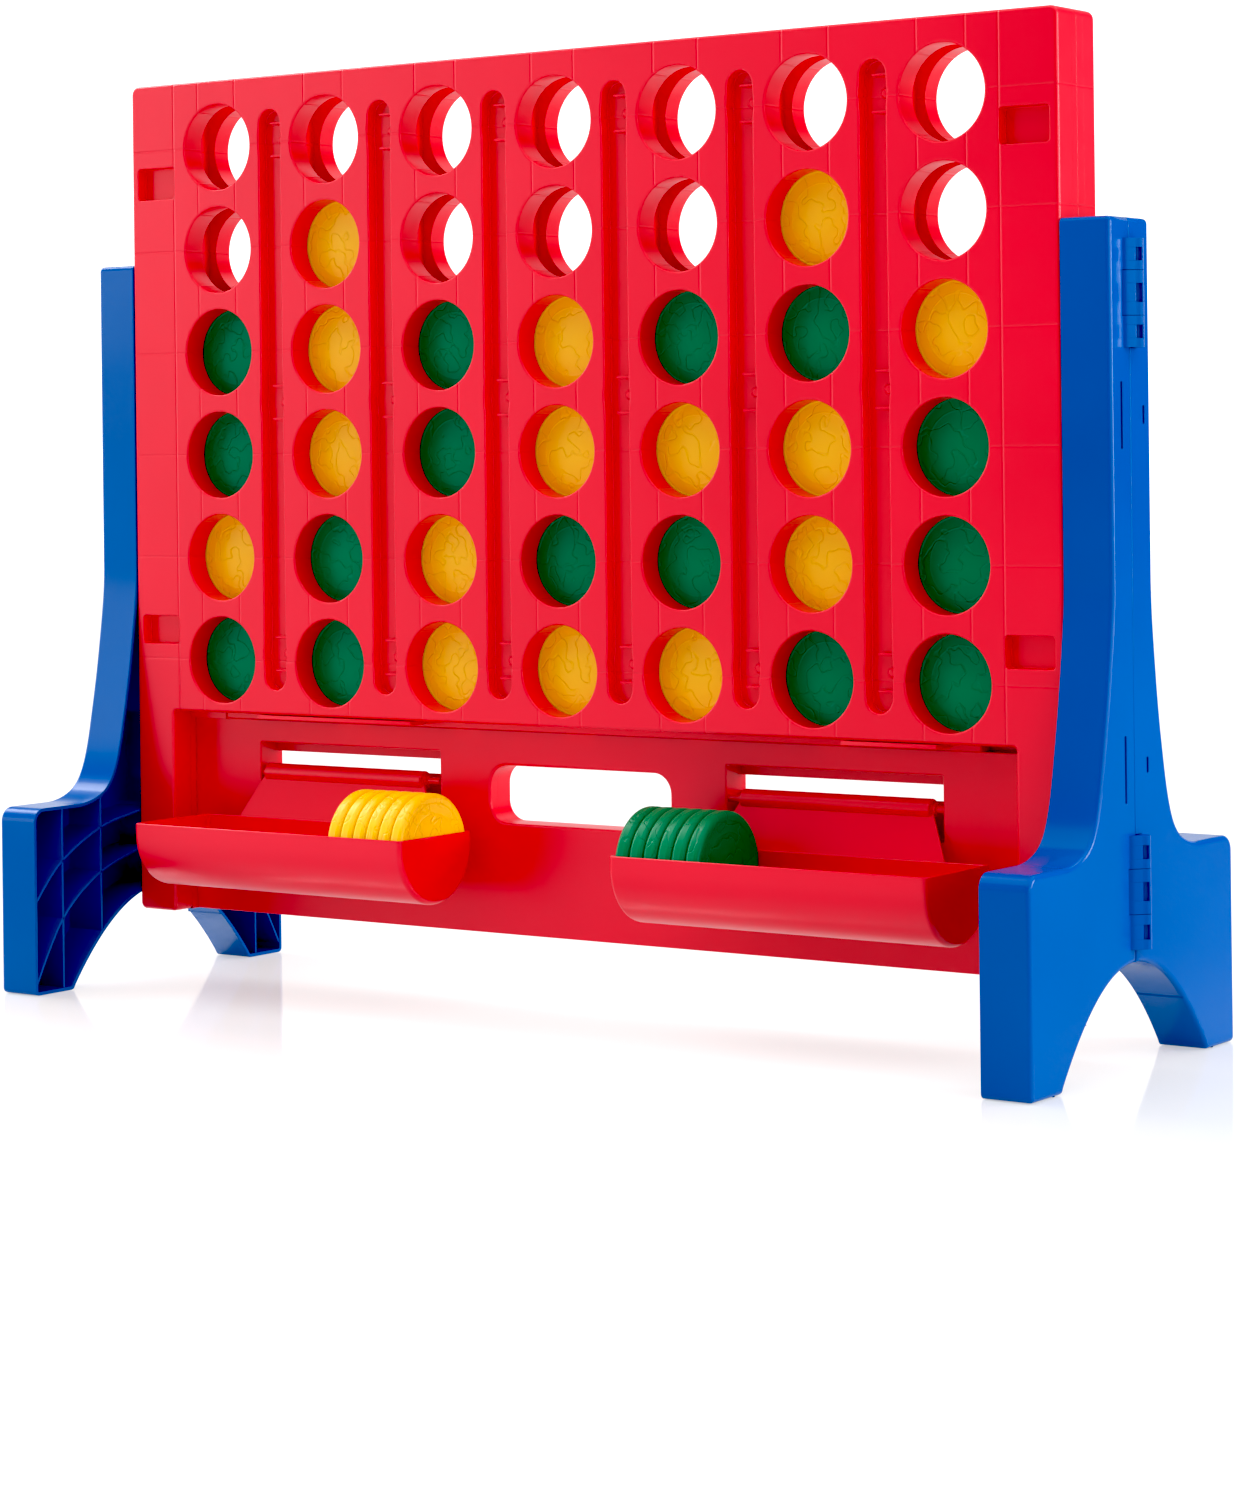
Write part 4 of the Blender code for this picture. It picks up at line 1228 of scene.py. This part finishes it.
def ramp(graph, value, stops):
    """Brightness along a 0 to 1 value."""
    node = graph.add("ValToRGB", {0: value})
    band = node.color_ramp
    band.interpolation = "EASE"
    while len(band.elements) < len(stops):
        band.elements.new(0.5)
    for element, (place, level) in zip(band.elements, stops):
        element.position = place
    for element, (place, level) in zip(band.elements, stops):
        level = level / SKY_SCALE
        element.color = (level, level, level, 1.0)
    return node.outputs[0]


def area_light(name, spot, target, width, height, power):
    data = bpy.data.lights.new(name, "AREA")
    data.shape = "RECTANGLE"
    data.size = width
    data.size_y = height
    data.energy = power
    lamp = bpy.data.objects.new(name, data)
    lamp.location = spot
    lamp.rotation_euler = (Vector(target) - Vector(spot)).to_track_quat("-Z", "Y").to_euler()
    bpy.context.scene.collection.objects.link(lamp)


def build_light():
    """Soft studio: bright walls to both sides, a soft ceiling and a softbox at each end."""
    world = bpy.data.worlds.new("studio")
    bpy.context.scene.world = world
    world.use_nodes = True
    back = world.node_tree.nodes["Background"]
    graph = Graph(world.node_tree)
    view = graph.add("TexCoord", {}).outputs["Generated"]
    way = graph.add("SeparateXYZ", {0: view}).outputs
    bearing = graph.maths("ARCTAN2", way["X"], graph.maths("MULTIPLY", way["Y"], -1.0))
    share = graph.between(bearing, -math.pi, math.pi)
    walls = ramp(graph, share, [(degrees / 360 + 0.5, level) for degrees, level in STUDIO_WALLS])
    rise = ramp(graph, way["Z"], STUDIO_HEIGHT)
    ceiling = ramp(graph, way["Z"], STUDIO_CEILING)
    graded = graph.add("VectorMath", {0: walls, 1: rise}, operation="MULTIPLY").outputs[0]
    room = graph.add("VectorMath", {0: graded, "Scale": SKY_SCALE}, operation="SCALE").outputs[0]
    lift = graph.between(way["Z"], CEILING_START, CEILING_FULL, smooth=True)
    sky = graph.blend(lift, room, ceiling)
    camera_ray = graph.add("LightPath", {}).outputs["Is Camera Ray"]
    seen = graph.blend(camera_ray, sky, (BACKDROP, BACKDROP, BACKDROP, 1.0))
    graph.feed(back.inputs["Color"], seen)
    back.inputs["Strength"].default_value = SKY_SCALE * STUDIO_POWER
    for softbox in SOFTBOXES:
        area_light(*softbox)


def build_camera():
    data = bpy.data.cameras.new("camera")
    data.sensor_width = 36
    data.lens = CAMERA_LENS
    data.shift_y = CAMERA_SHIFT
    data.clip_start = 0.05
    data.clip_end = 60
    camera = bpy.data.objects.new("camera", data)
    yaw = math.radians(CAMERA_YAW)
    roll = math.radians(CAMERA_ROLL)
    ahead = Vector((-math.sin(yaw), math.cos(yaw), 0.0))
    right = Vector((math.cos(yaw), math.sin(yaw), 0.0))
    across = right * math.cos(roll) + Z * math.sin(roll)
    above = Z * math.cos(roll) - right * math.sin(roll)
    turn_to = Matrix((across, above, -ahead)).transposed()
    camera.matrix_world = Matrix.Translation(CAMERA_SPOT) @ turn_to.to_4x4()
    bpy.context.scene.collection.objects.link(camera)
    bpy.context.scene.camera = camera


build_front_shell()
build_rear_shell()
build_release_bar()
build_discs()
for end_word, end_side in (("left", -1), ("right", 1)):
    build_tray(end_word, end_side)
    build_leg(end_word, end_side, True)
    build_leg(end_word, end_side, False)
build_pins()
build_floor()
build_light()
build_camera()
view = bpy.context.scene.view_settings
view.view_transform = "Standard"
view.use_curve_mapping = True
view.curve_mapping.black_level = BLACK_LEVEL
